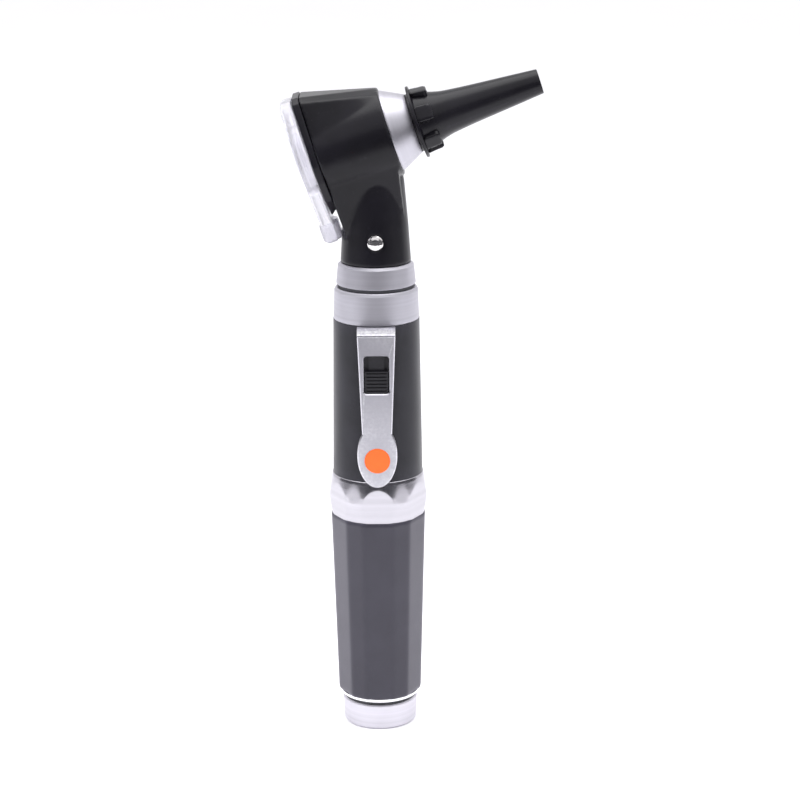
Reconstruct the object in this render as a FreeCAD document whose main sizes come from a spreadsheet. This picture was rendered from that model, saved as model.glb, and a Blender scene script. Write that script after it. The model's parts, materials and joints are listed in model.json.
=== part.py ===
import FreeCAD, Part

import os
import re

import Sketcher

# Pocket otoscope: two-cell handle, screw-on lamp head, swinging magnifier and push-on ear speculum.
# Millimetres. +Z runs up the handle from the flat bottom of the tail cap, +X points towards the
# speculum and -Y is the side with the pocket clip and the switch.

doc = FreeCAD.newDocument("otoscope")
sheet = doc.addObject("Spreadsheet::Sheet", "Sizes")

SIZES = [
    # shared clearances
    ("running", "0.05", "radial clearance of a running or screwed fit"),
    ("seat_gap", "0.02", "gap under a part that is glued or clamped down"),
    ("moving_gap", "0.2", "gap between faces that move past each other"),
    # cells, spring and tail cap
    ("cell_r", "7.25", "AA cell radius"),
    ("cell_length", "50.5", "AA cell length with its button"),
    ("cap_floor", "2", "thickness of the tail cap's floor"),
    ("spring_height", "5", "battery spring, compressed"),
    ("spring_wire", "0.45", "radius of the spring wire"),
    ("cap_height", "6.6", "visible height of the tail cap"),
    ("cap_wall", "0.9", "wall of the cap's screwed spigot"),
    ("thread_length", "6.5", "length of the cap's screwed spigot"),
    ("seal_wire", "0.4", "half thickness of the O-ring"),
    ("seal_space", "1", "height of the groove that shows the O-ring"),
    ("cell_bottom", "=cap_floor + spring_height", "underside of the lower cell"),
    ("cells_top", "=cell_bottom + 2 * cell_length", "top of the upper cell's button"),
    ("bore_r", "=cell_r + 0.75", "bore of the handle"),
    ("spigot_r", "=bore_r + 0.5", "cap spigot radius"),
    ("cap_wide", "1.4", "how far the tail cap stands out past the bore"),
    ("cap_r", "=bore_r + cap_wide", "tail cap radius at its top"),
    # grip, crown ring and upper tube
    ("ring_height", "0.8", "bright ring under the grip"),
    ("grip_low_wall", "2.55", "wall of the grip at its lower corners"),
    ("grip_high_wall", "3.83", "wall of the grip at its upper corners"),
    ("wide_half", "19.5", "half angle of a wide grip facet, degrees"),
    ("bevel_half", "1.4", "half angle of the bevel on a grip corner, degrees"),
    ("joint_r", "=bore_r + 1.2", "radius of the counterbores at the crown ring"),
    ("joint_depth", "5.6", "depth of those counterbores"),
    ("crown_height", "10.56", "height of the crown ring"),
    ("crown_wall", "4.2", "wall of the crown ring at its widest"),
    ("crown_top_wall", "3.36", "wall of the crown ring at its top edge"),
    ("tube_low_wall", "3.1", "wall of the upper tube at the crown ring"),
    ("tube_high_wall", "2.55", "wall of the upper tube at the collar"),
    ("tip_overlap", "0.75", "how far the crown ring reaches up past the clip's tip"),
    ("grip_low_r", "=bore_r + grip_low_wall", "grip radius over its corners at the bottom"),
    ("grip_high_r", "=bore_r + grip_high_wall", "grip radius over its corners at the top"),
    ("crown_r", "=bore_r + crown_wall", "crown ring at its widest"),
    ("crown_top_r", "=bore_r + crown_top_wall", "crown ring at its top edge"),
    ("tube_low_r", "=bore_r + tube_low_wall", "upper tube at the crown ring"),
    ("tube_high_r", "=bore_r + tube_high_wall", "upper tube at the collar"),
    ("grip_bottom", "=cap_height + seal_space + ring_height", "lower edge of the grip"),
    ("tube_top", "=cells_top - 2.9", "top edge of the upper tube"),
    ("crown_top", "=clip_tip + tip_overlap", "top edge of the crown ring"),
    ("grip_top", "=crown_top - crown_height", "top edge of the grip"),
    ("tube_slope", "=(tube_low_r - tube_high_r) / (tube_top - crown_top)", "taper of the tube"),
    # collars
    ("collar_wall", "2.47", "wall of the handle collar at its bottom"),
    ("collar_height", "7.85", "visible height of the handle collar"),
    ("groove_height", "0.85", "groove between the two collars"),
    ("head_collar_wall", "1.7", "wall of the head collar at its bottom"),
    ("head_collar_height", "5.2", "visible height of the head collar"),
    ("screw_r", "=bore_r + 0.9", "bore of the collar's thread"),
    ("collar_r", "=bore_r + collar_wall", "handle collar radius at its bottom"),
    ("head_collar_r", "=bore_r + head_collar_wall", "head collar radius at its bottom"),
    ("collar_top", "=tube_top + collar_height", "top edge of the handle collar"),
    ("head_base", "=collar_top + groove_height", "underside of the head collar"),
    ("neck_base", "=head_base + head_collar_height", "bottom edge of the head's neck"),
    # clip and switch
    ("plate_proud", "0.1", "how far the switch plate stands out past the tube's widest part"),
    ("clip_gap", "0.8", "room between the switch plate and the clip"),
    ("clip_thick", "0.9", "thickness of the clip"),
    ("clip_top_half", "4.6", "half width of the clip at its root"),
    ("clip_waist_half", "3.6", "half width of the clip above the spoon"),
    ("clip_length", "38", "clip from its root to its tip"),
    ("spoon_half", "4.85", "half width of the spoon end"),
    ("spoon_rise", "8.2", "half height of the spoon end"),
    ("badge_r", "3.1", "radius of the plain disc on the spoon"),
    ("window_half", "3.1", "half width of the clip's window"),
    ("window_height", "9.3", "height of the clip's window"),
    ("slider_height", "5.2", "height of the switch slider"),
    ("slider_half", "2.75", "half width of the switch slider"),
    ("slider_travel", "3.5", "how far the slider moves up"),
    ("plate_face", "=tube_low_r + plate_proud", "outer face of the switch plate"),
    ("clip_front", "=plate_face + clip_gap + clip_thick", "front face of the clip"),
    ("clip_root", "=tube_top - 1.8", "top edge of the flexing part of the clip"),
    ("clip_tip", "=clip_root - clip_length", "lowest point of the clip"),
    ("window_low", "=clip_root - 14.3", "lower edge of the clip's window"),
    ("slider_low", "=window_low + 0.3", "lower edge of the slider when it is off"),
    # head, on an axis that is tilted up from +X
    ("tilt", "18", "tilt of the viewing axis above +X, degrees"),
    ("head_z", "=neck_base + 31.81", "mouth of the barrel on the viewing axis, z"),
    ("barrel_r", "10.9", "outer radius of the barrel"),
    ("shell_length", "18.2", "barrel mouth to the back face of the shell"),
    ("roof", "15.1", "height of the roof over the viewing axis at the back"),
    ("chamber_r", "8.6", "radius of the viewing chamber"),
    ("mouth_r", "7.6", "radius of the barrel's mouth"),
    ("mouth_depth", "3", "length of the barrel's mouth"),
    ("neck_wall", "0.6", "how far the neck's bottom stands out past the handle's bore"),
    ("neck_r", "=bore_r + neck_wall", "radius of the neck at its bottom"),
    ("neck_high_r", "7", "radius of the neck inside the keel"),
    ("bezel_thick", "1.7", "thickness of the window bezel"),
    ("plate_thick", "2.95", "thickness of the magnifier plate"),
    ("plate_half", "9.4", "half width of the magnifier plate"),
    ("plate_gap", "0.2", "gap between the bezel and the magnifier plate"),
    ("lens_r", "8", "radius of the lens"),
    ("lens_curve", "41", "radius of the lens's faces"),
    ("pivot_rise", "12.9", "height of the magnifier's pivot over the viewing axis"),
    ("pivot_r", "0.9", "radius of the pivot pin"),
    ("tab_low", "20.8", "lower end of the magnifier's finger tab"),
    ("bezel_front", "=shell_length + bezel_thick", "front face of the bezel"),
    ("plate_back", "=bezel_front + plate_gap", "near face of the magnifier plate"),
    ("plate_front", "=plate_back + plate_thick", "far face of the magnifier plate"),
    ("tab_room", "0.2625", "room between the finger tab and the neck"),
    ("tab_x", "=neck_r - 0.62 + tab_room", "how far behind the handle axis the tab's inner corner is"),
    ("head_x", "=(shell_length + 0.5) * cos(tilt) - (tab_low - 2.8) * sin(tilt) - tab_x",
     "mouth of the barrel on the viewing axis, x"),
    # speculum side
    ("cone_r", "9.9", "cone collar at the barrel"),
    ("cone_end_r", "7.2", "cone collar at the speculum"),
    ("cone_length", "5.7", "length of the cone collar"),
    ("spec_length", "31.6", "length of the speculum"),
    ("spec_r", "7.1", "radius of the speculum at its flange"),
    ("flange_r", "8.8", "radius of the speculum's flange"),
    ("tip_r", "2.98", "outer radius of the speculum's tip"),
    ("tip_bore_r", "2.25", "radius of the speculum's tip opening"),
    ("spec_wall", "0.8", "wall of the speculum"),
    ("lug_width", "3.9", "width of a grip lug"),
    ("spec_start", "=cone_length + 0.05", "rear edge of the speculum"),
    # lamp
    ("lamp_r", "3", "radius of the lamp's metal base"),
    ("bulb_r", "2.2", "radius of the lamp's bulb"),
    ("socket_r", "4.9", "outer radius of the lamp socket"),
    ("guide_r", "0.9", "radius of the light guide"),
    ("screw_head_r", "1.9", "radius of the set screw's head"),
    ("lamp_base_z", "=head_base + 2.2", "underside of the lamp's metal base"),
    ("bulb_z", "=lamp_base_z + 10.5", "underside of the bulb"),
    ("guide_z", "=bulb_z + 5.7", "lower end of the light guide"),
    ("screw_z", "=neck_base + 6", "height of the set screw"),
]
NAMES = {name for name, content, note in SIZES}
for row, (name, content, note) in enumerate(SIZES, start=1):
    sheet.set("A%d" % row, name)
    sheet.set("B%d" % row, content)
    sheet.setAlias("B%d" % row, name)
    sheet.set("C%d" % row, note)
doc.recompute()


def spell(text):
    """Turn size names in a formula into references to the sheet."""
    return re.sub(r"[A-Za-z_]\w*", lambda m: "Sizes." + m[0] if m[0] in NAMES else m[0], str(text))


def bind(thing, prop, text):
    thing.setExpression(prop, spell(text))


# ---------------------------------------------------------------- frames
TURN_Y = FreeCAD.Rotation(FreeCAD.Vector(0, 1, 0), 72)
TURN_X = FreeCAD.Rotation(FreeCAD.Vector(1, 0, 0), 90)
TURN_IN_PLANE = FreeCAD.Rotation(FreeCAD.Vector(0, 0, 1), 72)
HANDLE_IN_HEAD = ("head_z * cos(tilt) - head_x * sin(tilt)", "-(head_x * cos(tilt) + head_z * sin(tilt))")


def new_body(node):
    """A body in the row's own frame."""
    body = doc.addObject("PartDesign::Body", node)
    body.Label = node
    return body


def new_head_body(node):
    """A body on the viewing axis: local Z runs to the speculum, local X points down."""
    body = new_body(node)
    tilt_up(body)
    return body


def tilt_up(thing):
    thing.Placement = FreeCAD.Placement(FreeCAD.Vector(), TURN_Y)
    bind(thing, ".Placement.Base.x", "head_x")
    bind(thing, ".Placement.Base.z", "head_z")
    bind(thing, ".Placement.Rotation.Angle", "90 - tilt")


# ---------------------------------------------------------------- sketches
def new_sketch(body, name, plane, lift=None):
    """A sketch on one of the body's origin planes, moved along the plane's normal by lift."""
    sketch = body.newObject("Sketcher::SketchObject", name)
    support = [f for f in body.Origin.OriginFeatures if f.Role == plane + "_Plane"][0]
    sketch.AttachmentSupport = [(support, "")]
    sketch.MapMode = "FlatFace"
    if lift is not None:
        bind(sketch, ".AttachmentOffset.Base.z", lift)
    return sketch


def in_handle_frame(sketch):
    """Turn an XZ sketch of a head body so that its axes are the row's X and Z."""
    sketch.AttachmentOffset = FreeCAD.Placement(FreeCAD.Vector(), TURN_IN_PLANE)
    bind(sketch, ".AttachmentOffset.Base.x", HANDLE_IN_HEAD[0])
    bind(sketch, ".AttachmentOffset.Base.y", HANDLE_IN_HEAD[1])
    bind(sketch, ".AttachmentOffset.Rotation.Angle", "90 - tilt")


def place_point(sketch, geometry, end, x, y):
    """Hold one point of the sketch at (x, y), two formulas."""
    for kind, axis, value in (("DistanceX", -2, x), ("DistanceY", -1, y)):
        if str(value) == "0":
            sketch.addConstraint(Sketcher.Constraint("PointOnObject", geometry, end, axis))
        else:
            index = sketch.addConstraint(Sketcher.Constraint(kind, -1, 1, geometry, end, 1.0))
            bind(sketch, "Constraints[%d]" % index, value)


def outline(sketch, points, closed=True):
    """Straight lines through the points; each point is a pair of formulas."""
    count = len(points)
    spots = [FreeCAD.Vector(1 + i, (i * i) % 7 + 0.1 * i, 0) for i in range(count)]
    sides = count if closed else count - 1
    for i in range(sides):
        sketch.addGeometry(Part.LineSegment(spots[i], spots[(i + 1) % count]), False)
    for i in range(sides if closed else sides - 1):
        sketch.addConstraint(Sketcher.Constraint("Coincident", i, 2, (i + 1) % sides, 1))
    for i, (x, y) in enumerate(points):
        if i < sides:
            place_point(sketch, i, 1, x, y)
        else:
            place_point(sketch, i - 1, 2, x, y)
    return sketch


def circle(sketch, x, y, radius):
    sketch.addGeometry(Part.Circle(FreeCAD.Vector(1, 1, 0), FreeCAD.Vector(0, 0, 1), 1), False)
    place_point(sketch, 0, 3, x, y)
    index = sketch.addConstraint(Sketcher.Constraint("Radius", 0, 1.0))
    bind(sketch, "Constraints[%d]" % index, radius)
    return sketch


def oval(low, half_width, half_height, sides=64):
    """Corners of an upright many-sided oval on the vertical axis; low is its lowest point."""
    corners = []
    for i in range(sides):
        turn = 360 * (i + 0.5) / sides
        corners.append(("%s * sin(%g)" % (half_width, turn),
                        "%s + %s * (1 - cos(%g))" % (low, half_height, turn)))
    return corners


def mirrored(points):
    """Complete an outline that is given for one side of the sketch's vertical axis."""
    return points + [("-(%s)" % x, y) for x, y in reversed(points)]


def mirrored_across(points):
    """Complete an outline that is given for one side of the sketch's horizontal axis."""
    return points + [(x, "-(%s)" % y) for x, y in reversed(points)]


# ---------------------------------------------------------------- features
def turned(body, name, points, kind="Revolution", handle=False):
    """Turn an XZ outline, radius against height, round the sketch's vertical axis."""
    sketch = new_sketch(body, name + "_sketch", "XZ")
    if handle:
        in_handle_frame(sketch)
    outline(sketch, points)
    feature = body.newObject("PartDesign::" + kind, name)
    feature.Profile = sketch
    feature.ReferenceAxis = (sketch, ["V_Axis"])
    feature.Angle = 360
    sketch.Visibility = False
    return feature


def extruded(body, name, sketch, length, kind="Pad", side="One side", reverse=False):
    feature = body.newObject("PartDesign::" + kind, name)
    feature.Profile = sketch
    feature.SideType = side
    feature.Reversed = reverse
    bind(feature, "Length", length)
    sketch.Visibility = False
    return feature


def lofted(body, name, sketches):
    feature = body.newObject("PartDesign::AdditiveLoft", name)
    feature.Profile = sketches[0]
    feature.Sections = sketches[1:]
    feature.Ruled = True
    return feature


def around(body, name, feature, count):
    """Repeat a feature evenly round the body's Z axis."""
    pattern = body.newObject("PartDesign::PolarPattern", name)
    pattern.Originals = [feature]
    z_axis = [f for f in body.Origin.OriginFeatures if f.Role == "Z_Axis"][0]
    pattern.Axis = (z_axis, [""])
    pattern.Angle = 360
    pattern.Occurrences = count
    body.Tip = pattern
    return pattern


def soften(body, name, feature, radius, wanted, kind="Fillet"):
    """Round or chamfer those edges of the feature for which wanted(edge) is true."""
    doc.recompute()
    edges = ["Edge%d" % (i + 1) for i, edge in enumerate(feature.Shape.Edges) if wanted(edge)]
    made = body.newObject("PartDesign::" + kind, name)
    made.Base = (feature, edges)
    bind(made, "Radius" if kind == "Fillet" else "Size", radius)
    return made


def size(name):
    return sheet.get(name)


# ---------------------------------------------------------------- tail cap
tail_cap = new_body("tail_cap")
turned(tail_cap, "cap_turned", [
    ("0", "0"), ("cap_r - 0.8", "0"), ("cap_r - 0.3", "0.5"), ("cap_r", "cap_height - 0.35"),
    ("cap_r - 0.35", "cap_height"), ("spigot_r", "cap_height"),
    ("spigot_r", "cap_height + thread_length"), ("spigot_r - cap_wall", "cap_height + thread_length"),
    ("spigot_r - cap_wall", "cap_floor"), ("0", "cap_floor")])

tail_cap_seal = doc.addObject("Part::Torus", "tail_cap_seal")
tail_cap_seal.Label = "tail_cap_seal"
bind(tail_cap_seal, "Radius1", "spigot_r + running + seal_wire")
bind(tail_cap_seal, "Radius2", "seal_wire")
bind(tail_cap_seal, ".Placement.Base.z", "cap_height + seal_space / 2")

coil = doc.addObject("Part::Helix", "spring_path")
bind(coil, "Radius", "cell_r - 1.4")
bind(coil, "Pitch", "(spring_height - 2 * spring_wire - 0.1) / 3")
bind(coil, "Height", "spring_height - 2 * spring_wire - 0.1")
bind(coil, ".Placement.Base.z", "cap_floor + spring_wire + 0.05")
wire_section = doc.addObject("Part::Circle", "spring_section")
wire_section.Placement = FreeCAD.Placement(FreeCAD.Vector(), TURN_X)
bind(wire_section, "Radius", "spring_wire")
bind(wire_section, ".Placement.Base.x", "cell_r - 1.4")
bind(wire_section, ".Placement.Base.z", "cap_floor + spring_wire + 0.05")
doc.recompute()
battery_spring = doc.addObject("Part::Sweep", "battery_spring")
battery_spring.Label = "battery_spring"
battery_spring.Sections = [wire_section]
battery_spring.Spine = (coil, ["Edge%d" % (i + 1) for i in range(len(coil.Shape.Edges))])
battery_spring.Solid = True
battery_spring.Frenet = True

# ---------------------------------------------------------------- grip
grip_end_ring = new_body("grip_end_ring")
turned(grip_end_ring, "end_ring_turned", [
    ("spigot_r + running", "cap_height + seal_space"), ("grip_low_r - 0.75", "cap_height + seal_space"),
    ("grip_low_r - 0.6", "cap_height + seal_space + 0.15"), ("grip_low_r - 0.6", "grip_bottom"),
    ("spigot_r + 0.55", "grip_bottom"), ("spigot_r + 0.55", "grip_bottom + joint_depth"),
    ("spigot_r + running", "grip_bottom + joint_depth")])


def grip_corners(radius):
    """The grip's twelve bevelled corners: six wide facets, one of them facing -Y, and narrow ones."""
    corners = []
    for facet in range(6):
        for half in ("-(wide_half + bevel_half)", "-(wide_half - bevel_half)",
                     "+(wide_half - bevel_half)", "+(wide_half + bevel_half)"):
            angle = "%d %s" % (60 * facet + 30, half)
            corners.append(("(%s) * cos(%s)" % (radius, angle), "(%s) * sin(%s)" % (radius, angle)))
    return corners


grip_tube = new_body("grip_tube")
lofted(grip_tube, "grip_loft", [
    outline(new_sketch(grip_tube, "grip_" + end, "XY", lift), grip_corners(radius))
    for end, lift, radius in (("foot", "grip_bottom", "grip_low_r - 0.45"), ("low", "grip_bottom + 0.8", "grip_low_r"),
                              ("high", "grip_top", "grip_high_r"))])
turned(grip_tube, "grip_bore", [
    ("0", "0"), ("spigot_r + 0.6", "0"), ("spigot_r + 0.6", "grip_bottom + joint_depth + 0.2"),
    ("bore_r", "grip_bottom + joint_depth + 0.2"), ("bore_r", "grip_top - joint_depth"),
    ("joint_r", "grip_top - joint_depth"), ("joint_r", "grip_top + 5"), ("0", "grip_top + 5")], "Groove")

# ---------------------------------------------------------------- crown ring
crown_ring = new_body("crown_ring")
turned(crown_ring, "crown_turned", [
    ("bore_r", "grip_top - joint_depth + 0.2"), ("joint_r - running", "grip_top - joint_depth + 0.2"),
    ("joint_r - running", "grip_top"), ("crown_r - 0.7", "grip_top"),
    ("crown_r - 0.42", "grip_top + 0.11 * crown_height"), ("crown_r - 0.18", "grip_top + 0.24 * crown_height"),
    ("crown_r - 0.04", "grip_top + 0.38 * crown_height"), ("crown_r", "grip_top + 0.49 * crown_height"),
    ("crown_r - 0.1", "grip_top + 0.62 * crown_height"), ("crown_r - 0.38", "grip_top + 0.77 * crown_height"),
    ("crown_top_r", "crown_top - 0.12"), ("crown_top_r - 0.12", "crown_top"),
    ("joint_r - running", "crown_top"), ("joint_r - running", "crown_top + joint_depth - 0.2"),
    ("bore_r", "crown_top + joint_depth - 0.2")])
# Flats: six wide ones that lean outwards as they rise and six narrow ones that lean inwards.
for plane, name, low, high, peak in (
        ("YZ", "wide_flat", "crown_r - 1.0", "crown_r - 0.5", "0.86"),
        ("XZ", "narrow_flat", "crown_r + 0.65", "crown_r - 0.75", "0.95")):
    flat = outline(new_sketch(crown_ring, name + "_sketch", plane), [
        (low, "grip_top - 0.5"), (high, "grip_top + %s * crown_height" % peak),
        ("crown_r + 3", "grip_top + %s * crown_height" % peak), ("crown_r + 3", "grip_top - 0.5")])
    cut = extruded(crown_ring, name, flat, "1.2 * crown_r", "Pocket", "Symmetric")
    around(crown_ring, name + "s", cut, 6)

# ---------------------------------------------------------------- upper tube
TUBE_SIDE = [("tube_low_r", "crown_top"), ("tube_high_r", "tube_top")]


def tube_radius(height, extra="seat_gap"):
    """Formula for the upper tube's outer radius at a height, plus a gap."""
    return "tube_high_r + tube_slope * (tube_top - (%s)) + %s" % (height, extra)


upper_tube = new_body("upper_tube")
turned(upper_tube, "tube_turned", [
    ("joint_r", "crown_top"), TUBE_SIDE[0], TUBE_SIDE[1], ("joint_r - 0.2", "tube_top"),
    ("joint_r - 0.2", "tube_top - joint_depth"), ("bore_r", "tube_top - joint_depth"),
    ("bore_r", "crown_top + joint_depth"), ("joint_r", "crown_top + joint_depth")])
slot = outline(new_sketch(upper_tube, "switch_slot_sketch", "XZ"), mirrored([
    ("1.5", "slider_low + 0.8"), ("1.5", "slider_low + 5.2 + slider_travel")]))
extruded(upper_tube, "switch_slot", slot, "20", "Pocket", reverse=True)
channel = outline(new_sketch(upper_tube, "strip_channel_sketch", "XZ"), mirrored([
    ("2.2", "window_low - 2"), ("2.2", "tube_top - joint_depth")]))
extruded(upper_tube, "strip_channel", channel, "bore_r + 0.9", "Pocket", reverse=True)

# ---------------------------------------------------------------- handle collar and contacts
handle_collar = new_body("handle_collar")
turned(handle_collar, "collar_turned", [
    ("bore_r", "tube_top - joint_depth + 0.2"), ("joint_r - 0.25", "tube_top - joint_depth + 0.2"),
    ("joint_r - 0.25", "tube_top"), ("collar_r - 0.08", "tube_top"), ("collar_r", "tube_top + 0.12"),
    ("collar_r - 0.25", "collar_top - 0.75"), ("collar_r - 0.55", "collar_top - 0.2"),
    ("collar_r - 0.75", "collar_top"), ("screw_r", "collar_top"), ("screw_r", "cells_top"),
    ("bore_r", "cells_top")])

battery_sleeve = new_body("battery_sleeve")
turned(battery_sleeve, "sleeve_turned", [
    ("cell_r + 0.25", "grip_bottom + joint_depth + 0.3"), ("bore_r - running", "grip_bottom + joint_depth + 0.3"),
    ("bore_r - running", "cells_top - 0.1"), ("cell_r + 0.25", "cells_top - 0.1")])


def cell(node, start):
    """A cylindrical cell standing on the height given by the formula start."""
    body = new_body(node)
    top = "%s + cell_length" % start
    turned(body, node + "_turned", [
        ("0", start), ("cell_r - 0.5", start), ("cell_r", start + " + 0.4"), ("cell_r", top + " - 1.7"),
        ("cell_r - 0.5", top + " - 1.3"), ("0.38 * cell_r", top + " - 1.3"), ("0.38 * cell_r", top),
        ("0", top)])


cell("cell_1", "cell_bottom")
cell("cell_2", "cell_bottom + cell_length")

contact_block = new_body("contact_block")
turned(contact_block, "block_turned", [
    ("1.55", "cells_top"), ("screw_r - running", "cells_top"), ("screw_r - running", "cells_top + 0.8"),
    ("bore_r - 1.3", "cells_top + 0.8"), ("bore_r - 1.3", "collar_top - 0.8"), ("1.55", "collar_top - 0.8")])

top_contact = new_body("top_contact")
turned(top_contact, "contact_turned", [
    ("0", "cells_top"), ("1.5", "cells_top"), ("1.5", "head_base + 0.1"), ("1", "head_base + 0.6"),
    ("0", "head_base + 0.7")])

contact_strip = new_body("contact_strip")
strip = outline(new_sketch(contact_strip, "strip_sketch", "XZ", "bore_r + 0.1"), mirrored([
    ("2", "slider_low + 4.2"), ("2", "tube_top - joint_depth - 0.05")]))
extruded(contact_strip, "strip", strip, "0.5")

# ---------------------------------------------------------------- switch
switch_plate = new_body("switch_plate")
plate = outline(new_sketch(switch_plate, "plate_sketch", "XZ", "bore_r + 1.8"), mirrored([
    ("window_half + 0.25", "window_low - 0.3"), ("window_half + 0.25", "window_low + window_height + 0.4")]))
extruded(switch_plate, "plate", plate, "plate_face - bore_r - 1.8")
opening = outline(new_sketch(switch_plate, "plate_slot_sketch", "XZ"), mirrored([
    ("1.5", "slider_low + 0.8"), ("1.5", "slider_low + 5.2 + slider_travel")]))
extruded(switch_plate, "plate_slot", opening, "20", "Pocket", reverse=True)
turned(switch_plate, "plate_saddle", [
    ("0", "crown_top"), (tube_radius("crown_top"), "crown_top"), (tube_radius("tube_top"), "tube_top"),
    ("0", "tube_top")], "Groove")

switch_slider = new_body("switch_slider")
button = outline(new_sketch(switch_slider, "button_sketch", "XZ", "plate_face + moving_gap"), mirrored([
    ("slider_half", "slider_low"), ("slider_half", "slider_low + slider_height")]))
extruded(switch_slider, "button", button, "clip_front - 0.25 - plate_face - moving_gap")
stem = outline(new_sketch(switch_slider, "stem_sketch", "XZ", "bore_r + 0.75"), mirrored([
    ("1.2", "slider_low + 1.2"), ("1.2", "slider_low + 3.9")]))
extruded(switch_slider, "stem", stem, "clip_front - 0.6 - bore_r - 0.75")
# A thin shutter rides above the button, so that the slot in the tube is never seen open.
shutter = outline(new_sketch(switch_slider, "shutter_sketch", "XZ", "plate_face + moving_gap"), mirrored([
    ("1.9", "slider_low + slider_height - 0.5"), ("1.9", "slider_low + slider_height + slider_travel + 0.1")]))
extruded(switch_slider, "shutter", shutter, "clip_gap - 2 * moving_gap")
for i in range(6):
    rib = outline(new_sketch(switch_slider, "rib_gap_%d_sketch" % i, "XZ", "clip_front - 0.6"), mirrored([
        ("slider_half - 0.3", "slider_low + (%d + 0.3) * slider_height / 6" % i),
        ("slider_half - 0.3", "slider_low + (%d + 0.7) * slider_height / 6" % i)]))
    extruded(switch_slider, "rib_gap_%d" % i, rib, "1", "Pocket", reverse=True)

# ---------------------------------------------------------------- pocket clip
clip_foot = new_body("clip_foot")
foot = outline(new_sketch(clip_foot, "foot_sketch", "YZ"), [
    ("-(bore_r + 1.8)", "clip_root + moving_gap"), ("-clip_front", "clip_root + moving_gap"),
    ("-(clip_front + 0.15)", "clip_root + 0.6"), ("-(clip_front - 0.3)", "tube_top - 0.45"),
    ("-(clip_front - 1.2)", "tube_top - 0.05"), ("-(bore_r + 1.8)", "tube_top - 0.05")])
extruded(clip_foot, "foot", foot, "2 * clip_top_half", side="Symmetric")
turned(clip_foot, "foot_saddle", [
    ("0", "crown_top"), (tube_radius("crown_top"), "crown_top"), (tube_radius("tube_top"), "tube_top"),
    ("0", "tube_top")], "Groove")

pocket_clip = new_body("pocket_clip")
blade = outline(new_sketch(pocket_clip, "blade_sketch", "XZ", "clip_front - clip_thick"), mirrored([
    ("clip_waist_half", "clip_tip + 1.55 * spoon_rise"), ("clip_top_half", "clip_root - 0.4"),
    ("clip_top_half", "clip_root")]))
extruded(pocket_clip, "blade", blade, "clip_thick")
spoon = outline(new_sketch(pocket_clip, "spoon_sketch", "XZ", "clip_front - clip_thick"),
                oval("clip_tip", "spoon_half", "spoon_rise"))
extruded(pocket_clip, "spoon", spoon, "clip_thick")
window = outline(new_sketch(pocket_clip, "window_sketch", "XZ"), mirrored([
    ("window_half", "window_low"), ("window_half", "window_low + window_height")]))
window_cut = extruded(pocket_clip, "window", window, "20", "Pocket", reverse=True)
blade_front = soften(
    pocket_clip, "window_corners", window_cut, "0.7",
    lambda e: e.BoundBox.YLength > 0.5 and e.BoundBox.XLength < 0.01 and abs(abs(e.BoundBox.XMin) - size(
        "window_half")) < 0.01)
soften(
    pocket_clip, "clip_bevel", blade_front, "0.25",
    lambda e: e.BoundBox.YLength < 0.001 and abs(e.BoundBox.YMin + size("clip_front")) < 0.001, "Chamfer")
recess = circle(new_sketch(pocket_clip, "badge_recess_sketch", "XZ", "clip_front - 0.35"),
                "0", "clip_tip + 0.84 * spoon_rise", "badge_r + running")
extruded(pocket_clip, "badge_recess", recess, "2", "Pocket", reverse=True)

clip_badge = new_body("clip_badge")
badge = circle(new_sketch(clip_badge, "badge_sketch", "XZ", "clip_front - 0.35"),
               "0", "clip_tip + 0.84 * spoon_rise", "badge_r")
extruded(clip_badge, "badge", badge, "0.45")

# ---------------------------------------------------------------- head collar and seal
head_collar = new_body("head_collar")
turned(head_collar, "head_collar_turned", [
    ("bore_r - 1", "cells_top + 1"), ("screw_r - running - 0.3", "cells_top + 1"),
    ("screw_r - running", "cells_top + 1.3"), ("screw_r - running", "head_base"),
    ("head_collar_r - 0.1", "head_base"), ("head_collar_r", "head_base + 0.15"),
    ("head_collar_r - 0.45", "neck_base - 0.6"), ("neck_r - 0.05", "neck_base"),
    ("bore_r - 0.8", "neck_base"), ("bore_r - 0.8", "head_base"), ("bore_r - 1", "head_base")])

head_seal = new_body("head_seal")
turned(head_seal, "seal_turned", [
    ("screw_r", "collar_top + 0.05"), ("screw_r + 0.5", "collar_top + 0.05"),
    ("screw_r + 0.5", "head_base - 0.05"), ("screw_r", "head_base - 0.05")])

# ---------------------------------------------------------------- head shell
head_shell = new_head_body("head_shell")
turned(head_shell, "barrel", [
    ("0", "-shell_length"), ("barrel_r", "-shell_length"), ("barrel_r", "-0.25"),
    ("barrel_r - 0.25", "0"), ("0", "0")])
back_roof = mirrored_across([
    ("-roof", "5"), ("-(roof - 1.2)", "0.68 * barrel_r"), ("-0.4 * barrel_r", "0.905 * barrel_r"),
    ("1", "0.9 * barrel_r")])
front_roof = mirrored_across([
    ("-(barrel_r - 0.05)", "1"), ("-0.892 * barrel_r", "0.44 * barrel_r"),
    ("-0.72 * barrel_r", "0.68 * barrel_r"), ("1", "0.9 * barrel_r")])
lofted(head_shell, "roof_loft", [
    outline(new_sketch(head_shell, "roof_back", "XY", "-shell_length"), back_roof),
    outline(new_sketch(head_shell, "roof_front", "XY", "-0.3"), front_roof)])
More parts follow.
